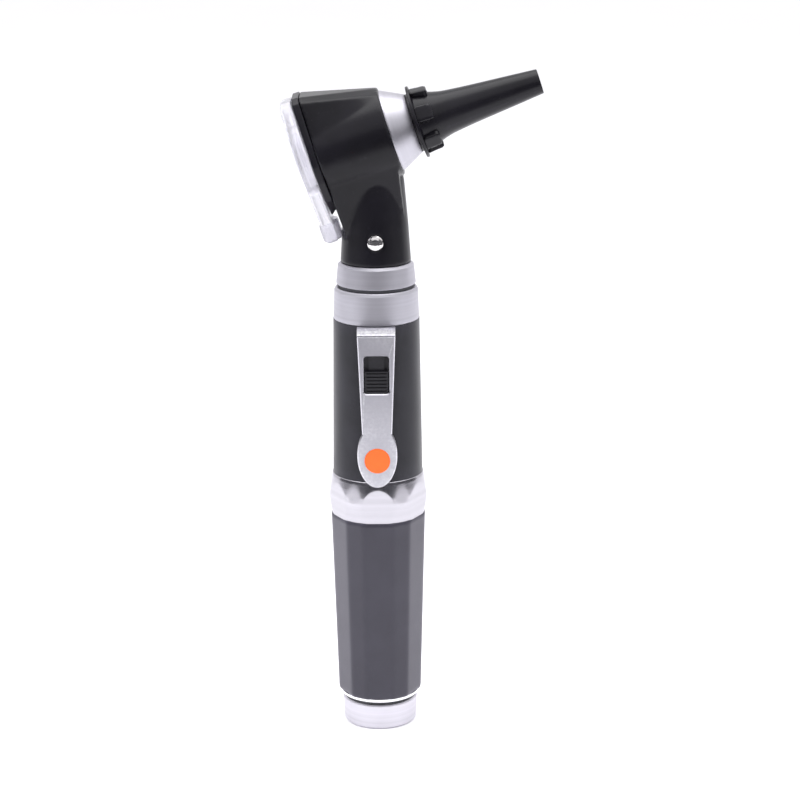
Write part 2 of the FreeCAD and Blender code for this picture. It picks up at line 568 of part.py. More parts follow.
# The keel narrows downwards from the barrel until it disappears into the neck.
lofted(head_shell, "keel", [
    outline(new_sketch(head_shell, "keel_top", "YZ", "5"), mirrored([
        ("0.81 * barrel_r", "-shell_length"), ("0.81 * barrel_r", "-0.3")])),
    outline(new_sketch(head_shell, "keel_bottom", "YZ", "21.5"), mirrored([
        ("0.37 * barrel_r", "-shell_length"), ("0.28 * barrel_r", "-0.2 * shell_length")]))])
turned(head_shell, "neck", [
    ("0", "head_base + 0.05"), ("bore_r - 0.85", "head_base + 0.05"), ("bore_r - 0.85", "neck_base"),
    ("neck_r - 0.15", "neck_base"), ("neck_r", "neck_base + 0.15"), ("neck_r - 0.62", "neck_base + 9.4"),
    ("neck_high_r", "neck_base + 20.5"), ("0", "neck_base + 20.5")], handle=True)
turned(head_shell, "chamber", [
    ("0", "-shell_length - 1"), ("chamber_r", "-shell_length - 1"), ("chamber_r", "-mouth_depth"),
    ("mouth_r", "-mouth_depth"), ("mouth_r", "1"), ("0", "1")], "Groove")
window_hole = outline(new_sketch(head_shell, "window_pocket_sketch", "XY", "-0.75 * shell_length"), mirrored_across([
    ("-10.4", "0.72 * chamber_r"), ("8", "0.72 * chamber_r")]))
extruded(head_shell, "window_pocket", window_hole, "shell_length", "Pocket")
turned(head_shell, "lamp_bore", [
    ("0", "head_base - 1"), ("socket_r + running", "head_base - 1"), ("socket_r + running", "bulb_z + 0.7"),
    ("bulb_r + 0.4", "bulb_z + 0.7"), ("bulb_r + 0.4", "guide_z"), ("guide_r + 0.2", "guide_z"),
    ("guide_r + 0.2", "head_z - 8.3"), ("0", "head_z - 8.3")], "Groove", handle=True)
for name, lift, radius in (("screw_hole", "1", "0.63 * screw_head_r + running"),
                           ("screw_seat", "neck_r - 0.95", "screw_head_r + 0.1")):
    hole = new_sketch(head_shell, name + "_sketch", "XZ")
    in_handle_frame(hole)
    bind(hole, ".AttachmentOffset.Base.z", lift)
    circle(hole, "0", "screw_z", radius)
    extruded(head_shell, name, hole, "neck_r + 4", "Pocket", reverse=True)

# ---------------------------------------------------------------- window bezel


def bezel_outline(inset):
    """The bezel's outline, pulled in all round by the formula inset."""
    return mirrored_across([
        ("-(roof + 0.1 - %s)" % inset, "5.2"), ("-(roof - 1.1 - %s)" % inset, "0.7 * barrel_r - %s" % inset),
        ("-0.4 * barrel_r", "0.93 * barrel_r - %s" % inset), ("0.1 * barrel_r", "barrel_r - %s" % inset),
        ("0.5 * barrel_r", "0.93 * barrel_r - %s" % inset), ("0.95 * barrel_r", "0.68 * barrel_r - %s" % inset),
        ("13.5 - %s" % inset, "3")])


window_bezel = new_head_body("window_bezel")
for name, start, thick, inset in (("bezel_inner", "shell_length + 0.47 * bezel_thick", "0.47 * bezel_thick", "0"),
                                  ("bezel_groove", "shell_length + 0.6 * bezel_thick", "0.3 * bezel_thick", "0.35"),
                                  ("bezel_outer", "bezel_front", "0.4 * bezel_thick", "0")):
    ring = outline(new_sketch(window_bezel, name + "_sketch", "XY", "-(%s)" % start), bezel_outline(inset))
    extruded(window_bezel, name, ring, thick)
glass_hole = outline(new_sketch(window_bezel, "glass_hole_sketch", "XY"), mirrored_across([
    ("-10.4", "0.6 * chamber_r"), ("-8.6", "0.8 * chamber_r"), ("6.4", "0.8 * chamber_r"),
    ("8", "0.6 * chamber_r")]))
extruded(window_bezel, "glass_hole", glass_hole, "2 * shell_length", "Pocket")
tip = outline(new_sketch(window_bezel, "tip_sketch", "XZ"), [
    ("12.5", "-(shell_length + 0.05)"), ("13.2", "-(shell_length + 0.05)"), ("14.4", "-(bezel_front - 0.35)"),
    ("14.1", "-bezel_front"), ("12.5", "-bezel_front")])
extruded(window_bezel, "tip", tip, "6", side="Symmetric")
pin_hole = circle(new_sketch(window_bezel, "pin_hole_sketch", "XY"), "-pivot_rise", "0", "pivot_r + 0.01")
extruded(window_bezel, "pin_hole", pin_hole, "2 * shell_length", "Pocket")

# The pivot pin's hole in the shell is cut last, so that it goes through the finished roof.
shell_pin_hole = circle(new_sketch(head_shell, "shell_pin_hole_sketch", "XY", "-shell_length + 3"),
                        "-pivot_rise", "0", "pivot_r + 0.01")
extruded(head_shell, "shell_pin_hole", shell_pin_hole, "10", "Pocket")

pivot_pin = new_head_body("pivot_pin")
for name, start, length, radius in (("pin_shank", "plate_front - 0.4", "plate_front - shell_length + 2", "pivot_r"),
                                    ("pin_head", "plate_front - 0.05", "0.7", "pivot_r + 0.6")):
    disc = circle(new_sketch(pivot_pin, name + "_sketch", "XY", "-(%s)" % start), "-pivot_rise", "0", radius)
    extruded(pivot_pin, name, disc, length)

# ---------------------------------------------------------------- swinging magnifier
magnifier_plate = new_head_body("magnifier_plate")
glass = outline(new_sketch(magnifier_plate, "glass_sketch", "XY", "-plate_front"), mirrored_across([
    ("-(pivot_rise + 1.7)", "0.55 * plate_half"), ("-(pivot_rise + 1)", "0.8 * plate_half"),
    ("-(pivot_rise - 1.4)", "plate_half"), ("0.8 * plate_half", "plate_half"),
    ("1.3 * plate_half", "0.8 * plate_half"), ("tab_low - 4.5", "0.55 * plate_half"),
    ("tab_low - 0.6", "0.5 * plate_half"), ("tab_low", "0.4 * plate_half")]))
extruded(magnifier_plate, "glass", glass, "plate_thick")
lug = outline(new_sketch(magnifier_plate, "finger_tab_sketch", "XZ"), [
    ("tab_low - 5.4", "-(plate_front - 0.5)"), ("tab_low - 4.6", "-(plate_front + 0.8)"),
    ("tab_low - 1.2", "-(plate_front + 0.8)"), ("tab_low - 0.2", "-(plate_front + 0.1)"),
    ("tab_low - 0.2", "-(plate_back + 1.2)"), ("tab_low - 2.8", "-(shell_length + 0.5)"),
    ("tab_low - 5.4", "-(shell_length + 0.5)")])
extruded(magnifier_plate, "finger_tab", lug, "0.9 * plate_half", side="Symmetric")
for name, start, length, x, radius in (
        ("lens_hole", "0", "40", "0", "lens_r + 0.02"),
        ("pivot_hole", "0", "40", "-pivot_rise", "pivot_r + running"),
        ("pivot_seat", "plate_front - 0.8", "3", "-pivot_rise", "pivot_r + 0.7")):
    hole = circle(new_sketch(magnifier_plate, name + "_sketch", "XY", "-(%s)" % start), x, "0", radius)
    extruded(magnifier_plate, name, hole, length, "Pocket")

lens_rim = doc.addObject("Part::Cylinder", "lens_rim")
tilt_up(lens_rim)
bind(lens_rim, "Radius", "lens_r")
bind(lens_rim, "Height", "plate_thick")
bind(lens_rim, ".Placement.Base.x", "head_x - plate_front * cos(tilt)")
bind(lens_rim, ".Placement.Base.z", "head_z - plate_front * sin(tilt)")
lens_parts = [lens_rim]
for name, centre in (("lens_far", "-(plate_front - 0.1) + lens_curve"),
                     ("lens_near", "-(plate_back + 0.1) - lens_curve")):
    ball = doc.addObject("Part::Sphere", name)
    bind(ball, "Radius", "lens_curve")
    bind(ball, ".Placement.Base.x", "head_x + (%s) * cos(tilt)" % centre)
    bind(ball, ".Placement.Base.z", "head_z + (%s) * sin(tilt)" % centre)
    lens_parts.append(ball)
magnifier_lens = doc.addObject("Part::MultiCommon", "magnifier_lens")
magnifier_lens.Label = "magnifier_lens"
magnifier_lens.Shapes = lens_parts

# ---------------------------------------------------------------- cone collar and speculum seat
cone_collar = new_head_body("cone_collar")
turned(cone_collar, "cone_turned", [
    ("mouth_r - 1", "-mouth_depth"), ("mouth_r - running", "-mouth_depth"), ("mouth_r - running", "0.02"),
    ("cone_r", "0.02"), ("cone_r", "0.3"), ("cone_end_r", "cone_length - 0.1"),
    ("cone_end_r - 0.1", "cone_length"), ("mouth_r - 1", "cone_length")])


def along(share):
    """Formula for a distance along the speculum, as a share of its length."""
    return "spec_start + %g * spec_length" % share


SEAT = [(0.04, 1.1), (0.07, 1.6), (0.165, 2.1), (0.26, 2.95), (0.39, 3.45)]
speculum_seat = new_head_body("speculum_seat")
turned(speculum_seat, "seat_turned", [
    ("mouth_r - 1.4", "-mouth_depth"), ("mouth_r - 1 - running", "-mouth_depth"),
    ("mouth_r - 1 - running", "cone_length - 0.7"), ("spec_r - 1.1", "cone_length - 0.7")]
    + [("spec_r - %g" % inset, along(share)) for share, inset in SEAT]
    + [("spec_r - %g - 0.6" % inset, along(share)) for share, inset in reversed(SEAT)]
    + [("mouth_r - 1.4", "cone_length - 3")])

# ---------------------------------------------------------------- speculum
FLARE = [(0.04, 0), (0.068, 0.3), (0.119, 0.65), (0.166, 1.0), (0.198, 1.35), (0.261, 1.85), (0.324, 2.1),
         (0.45, 2.55), (0.7, 3.25), (0.956, 3.98)]
speculum = new_head_body("speculum")
turned(speculum, "speculum_turned", [
    ("spec_r - 0.75", "spec_start"), ("spec_r", "spec_start"), ("spec_r", along(0.017)),
    ("flange_r - 0.1", along(0.017)), ("flange_r", along(0.02)), ("flange_r", along(0.036)),
    ("flange_r - 0.1", along(0.04))]
    + [("tip_r + (spec_r - tip_r) * %g" % (1 - drop / 4.12), along(share)) for share, drop in FLARE]
    + [("tip_r", along(0.996)), ("tip_r - 0.12", along(1)), ("tip_bore_r", along(1)),
       ("tip_bore_r", "spec_start + spec_length - 2")]
    + [("tip_r + (spec_r - tip_r) * %g - spec_wall" % (1 - drop / 4.12), along(share))
       for share, drop in reversed(FLARE[:-1])])
lug_sketch = new_sketch(speculum, "grip_lug_sketch", "XZ")
lug_sketch.AttachmentOffset = FreeCAD.Placement(
    FreeCAD.Vector(), FreeCAD.Rotation(FreeCAD.Vector(0, 1, 0), 20.5))
outline(lug_sketch, [
    ("spec_r - 0.4", along(0.03)), ("spec_r + 0.8", along(0.03)), ("spec_r + 0.4", along(0.166)),
    ("spec_r - 1.45", along(0.166))])
grip_lug = extruded(speculum, "grip_lug", lug_sketch, "lug_width", side="Symmetric")
around(speculum, "grip_lugs", grip_lug, 6)

# ---------------------------------------------------------------- lamp
lamp_socket = new_body("lamp_socket")
turned(lamp_socket, "socket_turned", [
    ("lamp_r + running", "head_base + 0.8"), ("socket_r", "head_base + 0.8"), ("socket_r", "bulb_z + 0.6"),
    ("lamp_r + running", "bulb_z + 0.6")])

lamp_base = new_body("lamp_base")
turned(lamp_base, "lamp_base_turned", [
    ("0", "head_base + 0.8"), ("1.2", "head_base + 0.9"), ("1.2", "lamp_base_z"), ("lamp_r - 0.3", "lamp_base_z"),
    ("lamp_r", "lamp_base_z + 0.4"), ("lamp_r", "bulb_z"), ("0", "bulb_z")])

lamp_bulb = new_body("lamp_bulb")
turned(lamp_bulb, "bulb_turned", [
    ("0", "bulb_z"), ("bulb_r", "bulb_z"), ("bulb_r", "bulb_z + 3.6"), ("0.9 * bulb_r", "bulb_z + 4.3"),
    ("0.68 * bulb_r", "bulb_z + 4.85"), ("0.36 * bulb_r", "bulb_z + 5.2"), ("0", "bulb_z + 5.3")])


def head_point(s, t):
    """Row coordinates of the point s along and t above the viewing axis."""
    return ("head_x + (%s) * cos(tilt) - (%s) * sin(tilt)" % (s, t),
            "head_z + (%s) * sin(tilt) + (%s) * cos(tilt)" % (s, t))


light_guide = new_body("light_guide")
guide_path = outline(new_sketch(light_guide, "guide_path", "XZ"), [
    ("0", "guide_z + 0.2"), ("0", "head_z - 8.4"), head_point("-mouth_depth", "-(mouth_r - 2.6)"),
    head_point(along(0.165), "-(mouth_r - 5)")], closed=False)
guide_end = circle(new_sketch(light_guide, "guide_end", "XY", "guide_z + 0.2"), "0", "0", "guide_r")
doc.recompute()
guide = light_guide.newObject("PartDesign::AdditivePipe", "guide")
guide.Profile = guide_end
guide.Spine = (guide_path, ["Edge1", "Edge2", "Edge3"])
guide.Transition = "Round corner"

# ---------------------------------------------------------------- set screw
set_screw = new_body("set_screw")
set_screw.Placement = FreeCAD.Placement(FreeCAD.Vector(), TURN_X)
bind(set_screw, ".Placement.Base.z", "screw_z")
turned(set_screw, "screw_turned", [
    ("0", "socket_r + 0.05"), ("0.63 * screw_head_r", "socket_r + 0.05"), ("0.63 * screw_head_r", "neck_r - 0.9"),
    ("screw_head_r", "neck_r - 0.9"), ("screw_head_r", "neck_r - 0.35"), ("0.85 * screw_head_r", "neck_r"),
    ("0.55 * screw_head_r", "neck_r + 0.25"), ("0.25 * screw_head_r", "neck_r + 0.36"), ("0", "neck_r + 0.38")])
screw_slot = outline(new_sketch(set_screw, "screw_slot_sketch", "XY", "neck_r - 0.15"), mirrored([
    ("1.2 * screw_head_r", "-0.25"), ("1.2 * screw_head_r", "0.25")]))
extruded(set_screw, "screw_slot", screw_slot, "2", "Pocket", reverse=True)

# ---------------------------------------------------------------- finish
doc.recompute()
NODES = [
    "tail_cap", "tail_cap_seal", "battery_spring", "grip_end_ring", "grip_tube", "crown_ring", "upper_tube",
    "handle_collar", "battery_sleeve", "cell_1", "cell_2", "contact_block", "top_contact", "contact_strip",
    "switch_plate", "switch_slider", "clip_foot", "pocket_clip", "clip_badge", "head_collar", "head_seal",
    "head_shell", "window_bezel", "pivot_pin", "magnifier_plate", "magnifier_lens", "cone_collar",
    "speculum_seat", "speculum", "lamp_socket", "lamp_base", "lamp_bulb", "light_guide", "set_screw"]
for thing in doc.Objects:
    if "Invalid" in thing.State or "Error" in thing.State:
        raise RuntimeError("%s did not compute: %s" % (thing.Name, thing.State))
os.makedirs("parts", exist_ok=True)
for node in NODES:
    shape = doc.getObject(node).Shape
    if shape.isNull() or not shape.isValid() or len(shape.Solids) != 1:
        raise RuntimeError("%s is not one valid solid" % node)
    shape.exportStep("parts/%s.step" % node)
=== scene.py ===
import json
import math

import bmesh
import bpy
import numpy as np
from bpy.props import FloatProperty, FloatVectorProperty, PointerProperty
from mathutils import Matrix, Vector


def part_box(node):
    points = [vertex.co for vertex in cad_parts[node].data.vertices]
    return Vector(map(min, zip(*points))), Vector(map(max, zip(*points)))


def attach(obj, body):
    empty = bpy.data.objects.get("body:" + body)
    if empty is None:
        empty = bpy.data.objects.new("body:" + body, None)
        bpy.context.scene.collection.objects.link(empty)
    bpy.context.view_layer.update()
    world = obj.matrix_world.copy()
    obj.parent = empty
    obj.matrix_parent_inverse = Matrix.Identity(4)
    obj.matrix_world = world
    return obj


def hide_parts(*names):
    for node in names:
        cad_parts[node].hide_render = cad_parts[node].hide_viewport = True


bl_info = {
    "name": "Pocket otoscope",
    "version": (1, 0, 0),
    "blender": (4, 5, 0),
    "location": "3D View > Sidebar > Otoscope",
    "description": "Finishes a two-cell pocket otoscope around its CAD frame",
    "category": "Object",
}

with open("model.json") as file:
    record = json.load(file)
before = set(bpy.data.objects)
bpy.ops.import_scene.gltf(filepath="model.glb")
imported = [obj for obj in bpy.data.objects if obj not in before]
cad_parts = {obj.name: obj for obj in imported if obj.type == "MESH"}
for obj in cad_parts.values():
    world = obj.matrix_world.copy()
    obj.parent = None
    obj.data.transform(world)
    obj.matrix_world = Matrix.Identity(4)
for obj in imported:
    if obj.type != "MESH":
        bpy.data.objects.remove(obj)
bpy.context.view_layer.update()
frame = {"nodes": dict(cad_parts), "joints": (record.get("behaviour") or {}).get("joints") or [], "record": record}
NODES = frame["nodes"]
MM = 0.001

# ---------------------------------------------------------------- places read from the frame


def low(node):
    """Lowest corner of a node at rest."""
    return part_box(node)[0]


def high(node):
    """Highest corner of a node at rest."""
    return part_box(node)[1]


SPECULUM_JOINT = next(j for j in frame["joints"] if j["name"] == "speculum_pull")
VIEW_AXIS = Vector(SPECULUM_JOINT["axis"]).normalized()
VIEW_UP = Vector((-VIEW_AXIS.z, 0, VIEW_AXIS.x))
EAR_MOUNT = next(m for m in frame["record"]["mounts"] if m["name"] == "ear_aperture")
EAR_CENTRE = Vector(EAR_MOUNT["pos_m"])


def view_extent(node):
    """Lowest and highest distance of a node along the viewing axis."""
    reach = (node_spots(node) - np.array(EAR_CENTRE)) @ np.array(VIEW_AXIS)
    return float(reach.min()), float(reach.max())


def node_spots(node):
    """Every point of a node's mesh, one row each."""
    mesh = NODES[node].data
    spots = np.empty(len(mesh.vertices) * 3)
    mesh.vertices.foreach_get("co", spots)
    return spots.reshape(-1, 3)


def view_radius(node):
    """Largest distance of a node from the viewing axis."""
    away = node_spots(node) - np.array(EAR_CENTRE)
    reach = away @ np.array(VIEW_AXIS)
    return float(np.linalg.norm(away - reach[:, None] * np.array(VIEW_AXIS), axis=1).max())


def handle_radius(node):
    """Largest distance of a node from the handle's axis."""
    spots = node_spots(node)
    return float(np.hypot(spots[:, 0], spots[:, 1]).max())


# ---------------------------------------------------------------- settings
def colour(name, text, default):
    return FloatVectorProperty(name=name, description=text, subtype="COLOR", size=3, min=0, max=1,
                               default=default)


def length(name, text, default):
    return FloatProperty(name=name, description=text, subtype="DISTANCE", unit="LENGTH", default=default)


def tilt(name, text, degrees):
    return FloatProperty(name=name, description=text, subtype="ANGLE", unit="ROTATION",
                         default=math.radians(degrees))


class OtoscopeFinish(bpy.types.PropertyGroup):
    head_black: colour("Head", "Moulded black of the lamp head", (0.006, 0.0055, 0.008))
    speculum_black: colour("Speculum", "Moulded black of the ear speculum", (0.006, 0.0055, 0.008))
    tube_charcoal: colour("Upper tube", "Charcoal of the upper tube", (0.012, 0.0115, 0.016))
    grip_grey: colour("Grip", "Grey of the faceted grip", (0.032, 0.03, 0.042))
    satin_silver: colour("Collars", "Satin metal of the collars", (0.54, 0.53, 0.58))
    bright_silver: colour("Crown and cap", "Pale anodised metal of the crown ring and tail cap",
                          (0.76, 0.74, 0.8))
    clip_silver: colour("Clip", "Satin metal of the pocket clip", (0.55, 0.54, 0.59))
    badge_orange: colour("Disc", "Enamel of the plain disc on the clip", (0.9, 0.115, 0.012))
    clear_tint: colour("Magnifier", "Tint of the clear magnifier plate", (0.87, 0.86, 0.92))


class OtoscopeShape(bpy.types.PropertyGroup):
    head_cell: length("Head cell", "Cell size that rounds the moulded head's edges", 0.00034)
    speculum_wall: length("Speculum wall", "Wall of the ear speculum", 0.0008)
    plate_edge: length("Plate edge", "Rounding of the magnifier plate's edges", 0.0007)


class OtoscopeStage(bpy.types.PropertyGroup):
    camera_x: length("Camera x", "Camera place across the object", 0.00561)
    camera_distance: length("Camera distance", "Camera place in front of the handle's axis", 0.5457)
    camera_height: length("Camera height", "Camera place above the floor", 0.2363)
    camera_pitch: tilt("Camera pitch", "How far the camera looks down", 15.6)
    camera_roll: tilt("Camera roll", "Turn of the camera about its own axis", -0.44)
    camera_lens: FloatProperty(name="Focal length", unit="CAMERA", default=103.3,
                               description="Focal length in millimetres, for a 36 mm sensor")
    side_light: FloatProperty(name="Side light", unit="POWER", default=2.2,
                              description="Power of the left soft box in watts; the others follow it")
    floor_tone: colour("Floor", "Pale floor", (0.93, 0.93, 0.95))


# ---------------------------------------------------------------- node wiring
class Wiring:
    """Adds nodes to a node tree and joins their sockets."""

    def __init__(self, tree):
        self.tree = tree

    def add(self, kind, inputs=None, **settings):
        """A new node; each input is set to a value or joined to another node's socket."""
        node = self.tree.nodes.new(kind)
        for name, value in settings.items():
            setattr(node, name, value)
        for name, value in (inputs or {}).items():
            if isinstance(value, bpy.types.NodeSocket):
                self.tree.links.new(value, node.inputs[name])
            else:
                node.inputs[name].default_value = value
        return node

    def math(self, operation, first, second=0.0, clamp=False):
        node = self.add("ShaderNodeMath", {0: first, 1: second}, operation=operation, use_clamp=clamp)
        return node.outputs[0]

    def spread(self, value, low_in, high_in, low_out, high_out):
        """Stretch a value from one range to another."""
        return self.add("ShaderNodeMapRange", {"Value": value, "From Min": low_in, "From Max": high_in,
                                               "To Min": low_out, "To Max": high_out}).outputs[0]

    def noise(self, vector, scale, detail, rough):
        return self.add("ShaderNodeTexNoise", {"Vector": vector, "Scale": scale, "Detail": detail,
                                               "Roughness": rough}).outputs[0]

    def mix(self, factor, first, second):
        """Blend two colours, each a tuple or a socket."""
        node = self.add("ShaderNodeMix", {"Factor": factor}, data_type="RGBA")
        for socket, value in ((node.inputs[6], first), (node.inputs[7], second)):
            if isinstance(value, bpy.types.NodeSocket):
                self.tree.links.new(value, socket)
            else:
                socket.default_value = (*value[:3], 1.0)
        return node.outputs[2]


def new_group(name, inputs, outputs):
    """An empty shader node group: inputs are (name, default), outputs are names."""
    group = bpy.data.node_groups.new(name, "ShaderNodeTree")
    group.interface.new_socket("Vector", in_out="INPUT", socket_type="NodeSocketVector")
    for label, default in inputs:
        socket = group.interface.new_socket(label, in_out="INPUT", socket_type="NodeSocketFloat")
        socket.default_value = default
    for label in outputs:
        group.interface.new_socket(label, in_out="OUTPUT", socket_type="NodeSocketFloat")
    wiring = Wiring(group)
    return group, wiring, wiring.add("NodeGroupInput").outputs, wiring.add("NodeGroupOutput").inputs


def moulded_grain():
    """Fine pebbled skin of injection-moulded plastic, with faint flow marks."""
    group, wiring, given, result = new_group(
        "Moulded grain", [("Scale", 4000.0), ("Flow", 60.0)], ["Height", "Tone"])
    pebbles = wiring.add("ShaderNodeTexVoronoi", {"Vector": given["Vector"], "Scale": given["Scale"]},
                         feature="SMOOTH_F1")
    fine = wiring.noise(given["Vector"], given["Scale"], 3.0, 0.6)
    flow = wiring.noise(given["Vector"], given["Flow"], 4.0, 0.55)
    height = wiring.math("ADD", wiring.math("MULTIPLY", pebbles.outputs["Distance"], 0.7),
                         wiring.math("MULTIPLY", fine, 0.3))
    group.links.new(height, result["Height"])
    group.links.new(wiring.spread(flow, 0.35, 0.65, 0.0, 1.0), result["Tone"])
    return group


def handling_marks():
    """Finger smudges and settled dust, as masks from 0 to 1."""
    group, wiring, given, result = new_group(
        "Handling marks", [("Scale", 120.0), ("Amount", 1.0)], ["Smudge", "Dust"])
    wide = wiring.noise(given["Vector"], given["Scale"], 3.0, 0.6)
    streak = wiring.noise(given["Vector"], wiring.math("MULTIPLY", given["Scale"], 4.0), 5.0, 0.7)
    smudge = wiring.math("MULTIPLY", wiring.spread(wide, 0.45, 0.7, 0.0, 1.0),
                         wiring.spread(streak, 0.3, 0.7, 0.3, 1.0))
    specks = wiring.add("ShaderNodeTexVoronoi", {"Vector": given["Vector"],
                                                 "Scale": wiring.math("MULTIPLY", given["Scale"], 14.0)})
    dust = wiring.math("MULTIPLY", wiring.spread(specks.outputs["Distance"], 0.12, 0.0, 0.0, 1.0),
                       wiring.spread(wide, 0.5, 0.75, 0.0, 1.0))
    for label, value in (("Smudge", smudge), ("Dust", dust)):
        group.links.new(wiring.math("MULTIPLY", value, given["Amount"], clamp=True), result[label])
    return group


def turning_marks():
    """Fine rings left by a lathe: the pattern changes quickly along Z and hardly at all round it."""
    group, wiring, given, result = new_group(
        "Turning marks", [("Pitch", 9000.0), ("Round", 40.0)], ["Height", "Tone"])
    parts = wiring.add("ShaderNodeSeparateXYZ", {"Vector": given["Vector"]}).outputs
    rings = wiring.add("ShaderNodeCombineXYZ", {
        "X": wiring.math("MULTIPLY", parts["X"], given["Round"]),
        "Y": wiring.math("MULTIPLY", parts["Y"], given["Round"]),
        "Z": wiring.math("MULTIPLY", parts["Z"], given["Pitch"])}).outputs[0]
    lines = wiring.noise(rings, 1.0, 2.0, 0.65)
    bands = wiring.noise(rings, 0.12, 2.0, 0.5)
    group.links.new(lines, result["Height"])
    group.links.new(wiring.spread(bands, 0.3, 0.7, 0.0, 1.0), result["Tone"])
    return group


def edge_wear_and_highlight():
    """Sharp convex places, broken up by noise: where corners are rubbed, and on the grip a painted highlight along
    its corners.
    """
    group, wiring, given, result = new_group("Edge wear", [("Scale", 900.0), ("Amount", 0.6)], ["Wear"])
    sharp = wiring.add("ShaderNodeNewGeometry").outputs["Pointiness"]
    broken = wiring.noise(given["Vector"], given["Scale"], 4.0, 0.65)
    wear = wiring.math("MULTIPLY", wiring.spread(sharp, 0.53, 0.62, 0.0, 1.0),
                       wiring.spread(broken, 0.4, 0.7, 0.2, 1.0))
    group.links.new(wiring.math("MULTIPLY", wear, given["Amount"], clamp=True), result["Wear"])
    return group


GROUPS = {}


def effect(name):
    """The shared node group of that name, built once."""
    makers = {"Moulded grain": moulded_grain, "Handling marks": handling_marks,
              "Turning marks": turning_marks, "Edge wear": edge_wear_and_highlight}
    if name not in GROUPS:
        GROUPS[name] = makers[name]()
    return GROUPS[name]


class Finish:
    """One material: a Principled shader and the node groups that feed it."""

    def __init__(self, name, base, **constants):
        self.material = bpy.data.materials.new(name)
        self.material.use_nodes = True
        self.material.diffuse_color = (*base[:3], 1.0)
        self.wiring = Wiring(self.material.node_tree)
        self.shader = self.material.node_tree.nodes["Principled BSDF"]
        self.place = self.wiring.add("ShaderNodeTexCoord").outputs["Object"]
        self.shader.inputs["Base Color"].default_value = (*base[:3], 1.0)
        for socket, value in constants.items():
            self.shader.inputs[socket.replace("_", " ")].default_value = value

    def use(self, name, place=None, **inputs):
        """Place a shared effect with its own values, and give its outputs."""
        node = self.wiring.add("ShaderNodeGroup", node_tree=effect(name))
        self.wiring.tree.links.new(place or self.place, node.inputs["Vector"])
        for label, value in inputs.items():
            node.inputs[label].default_value = value
        return node.outputs

    def feed(self, socket, value):
        self.wiring.tree.links.new(value, self.shader.inputs[socket])

    def bump(self, height, distance):
        self.feed("Normal", self.wiring.add("ShaderNodeBump", {"Height": height, "Distance": distance,
                                                               "Strength": 1.0}).outputs[0])


def shade(tone, factor):
    """A colour made darker or lighter, and never past white."""
    return tuple(min(1.0, part * factor) for part in tone[:3])


# ---------------------------------------------------------------- finishes
DUST = (0.3, 0.29, 0.3)
RUBBER_DUST = (0.2, 0.2, 0.2)
BARE_METAL = (0.95, 0.95, 0.97)


def moulded(name, tone, rough, grain=0.000012, scale=3200.0, contrast=0.25, wear_and_highlight=0.5, rub=2.6,
            **constants):
    """Moulded plastic: pebbled skin, flow marks, smudges, and lighter corners that are rubbed wear and, where the
    rub is strong, a painted highlight.
    """
    finish = Finish(name, tone, **constants)
    wiring = finish.wiring
    skin = finish.use("Moulded grain", Scale=scale, Flow=90.0)
    marks = finish.use("Handling marks", Scale=110.0, Amount=0.8)
    edges = finish.use("Edge wear", Scale=1400.0, Amount=wear_and_highlight)
    plain = wiring.mix(skin["Tone"], shade(tone, 1 - contrast), shade(tone, 1 + contrast))
    # sharp corners made lighter: rubbed wear, and on the grip a painted highlight
    rubbed_and_highlit = wiring.mix(edges["Wear"], plain, shade(tone, rub))
    finish.feed("Base Color", wiring.mix(wiring.math("MULTIPLY", marks["Dust"], 0.5), rubbed_and_highlit, DUST))
    finish.feed("Roughness", wiring.spread(marks["Smudge"], 0.0, 1.0, rough, rough + 0.1))
    finish.bump(skin["Height"], grain)
    return finish.material


def turned_metal(name, tone, rough, depth=0.000004, place=None):
    """Lathe-turned, anodised metal: fine rings, faint bands and smudges."""
    finish = Finish(name, tone, Metallic=1.0)
    wiring = finish.wiring
    spot = place(finish) if place else finish.place
    rings = finish.use("Turning marks", place=spot, Pitch=7000.0, Round=40.0)
    marks = finish.use("Handling marks", Scale=90.0, Amount=0.7)
    finish.feed("Base Color", wiring.mix(rings["Tone"], shade(tone, 0.92), shade(tone, 1.08)))
    finish.feed("Roughness", wiring.math(
        "ADD", wiring.spread(rings["Height"], 0.0, 1.0, rough - 0.05, rough + 0.05),
        wiring.math("MULTIPLY", marks["Smudge"], 0.08)))
    finish.bump(rings["Height"], depth)
    return finish.material


def on_view_axis(finish):
    """Object coordinates turned so that Z runs along the viewing axis."""
    turn = finish.wiring.add("ShaderNodeMapping", {"Vector": finish.place}, vector_type="POINT")
    turn.inputs["Rotation"].default_value = (0.0, -math.acos(VIEW_AXIS.z), 0.0)
    return turn.outputs[0]


def brushed(name, tone, rough):
    """Flat brushed metal: short scratches across the handle, with rubbed edges."""
    finish = Finish(name, tone, Metallic=1.0)
    wiring = finish.wiring
    stretch = wiring.add("ShaderNodeMapping", {"Vector": finish.place, "Scale": (60.0, 60.0, 7000.0)})
    scratches = wiring.noise(stretch.outputs[0], 1.0, 4.0, 0.7)
    marks = finish.use("Handling marks", Scale=140.0, Amount=0.8)
    wear_and_highlight = finish.use("Edge wear", Scale=1500.0, Amount=0.8)
    plain = wiring.mix(scratches, shade(tone, 0.88), shade(tone, 1.08))
    finish.feed("Base Color", wiring.mix(wear_and_highlight["Wear"], plain, BARE_METAL))
    finish.feed("Roughness", wiring.math(
        "ADD", wiring.spread(scratches, 0.3, 0.7, rough - 0.06, rough + 0.08),
        wiring.math("MULTIPLY", marks["Smudge"], 0.08)))
    finish.bump(scratches, 0.000002)
    return finish.material


def rubber(name, tone):
    """Matt rubber with dust in its skin."""
    finish = Finish(name, tone)
    wiring = finish.wiring
    skin = finish.use("Moulded grain", Scale=2500.0, Flow=300.0)
    marks = finish.use("Handling marks", Scale=300.0, Amount=1.0)
    plain = wiring.mix(skin["Tone"], tone, shade(tone, 1.6))
    finish.feed("Base Color", wiring.mix(marks["Dust"], plain, RUBBER_DUST))
    finish.feed("Roughness", wiring.spread(skin["Tone"], 0.0, 1.0, 0.6, 0.8))
    finish.bump(skin["Height"], 0.00001)
    return finish.material


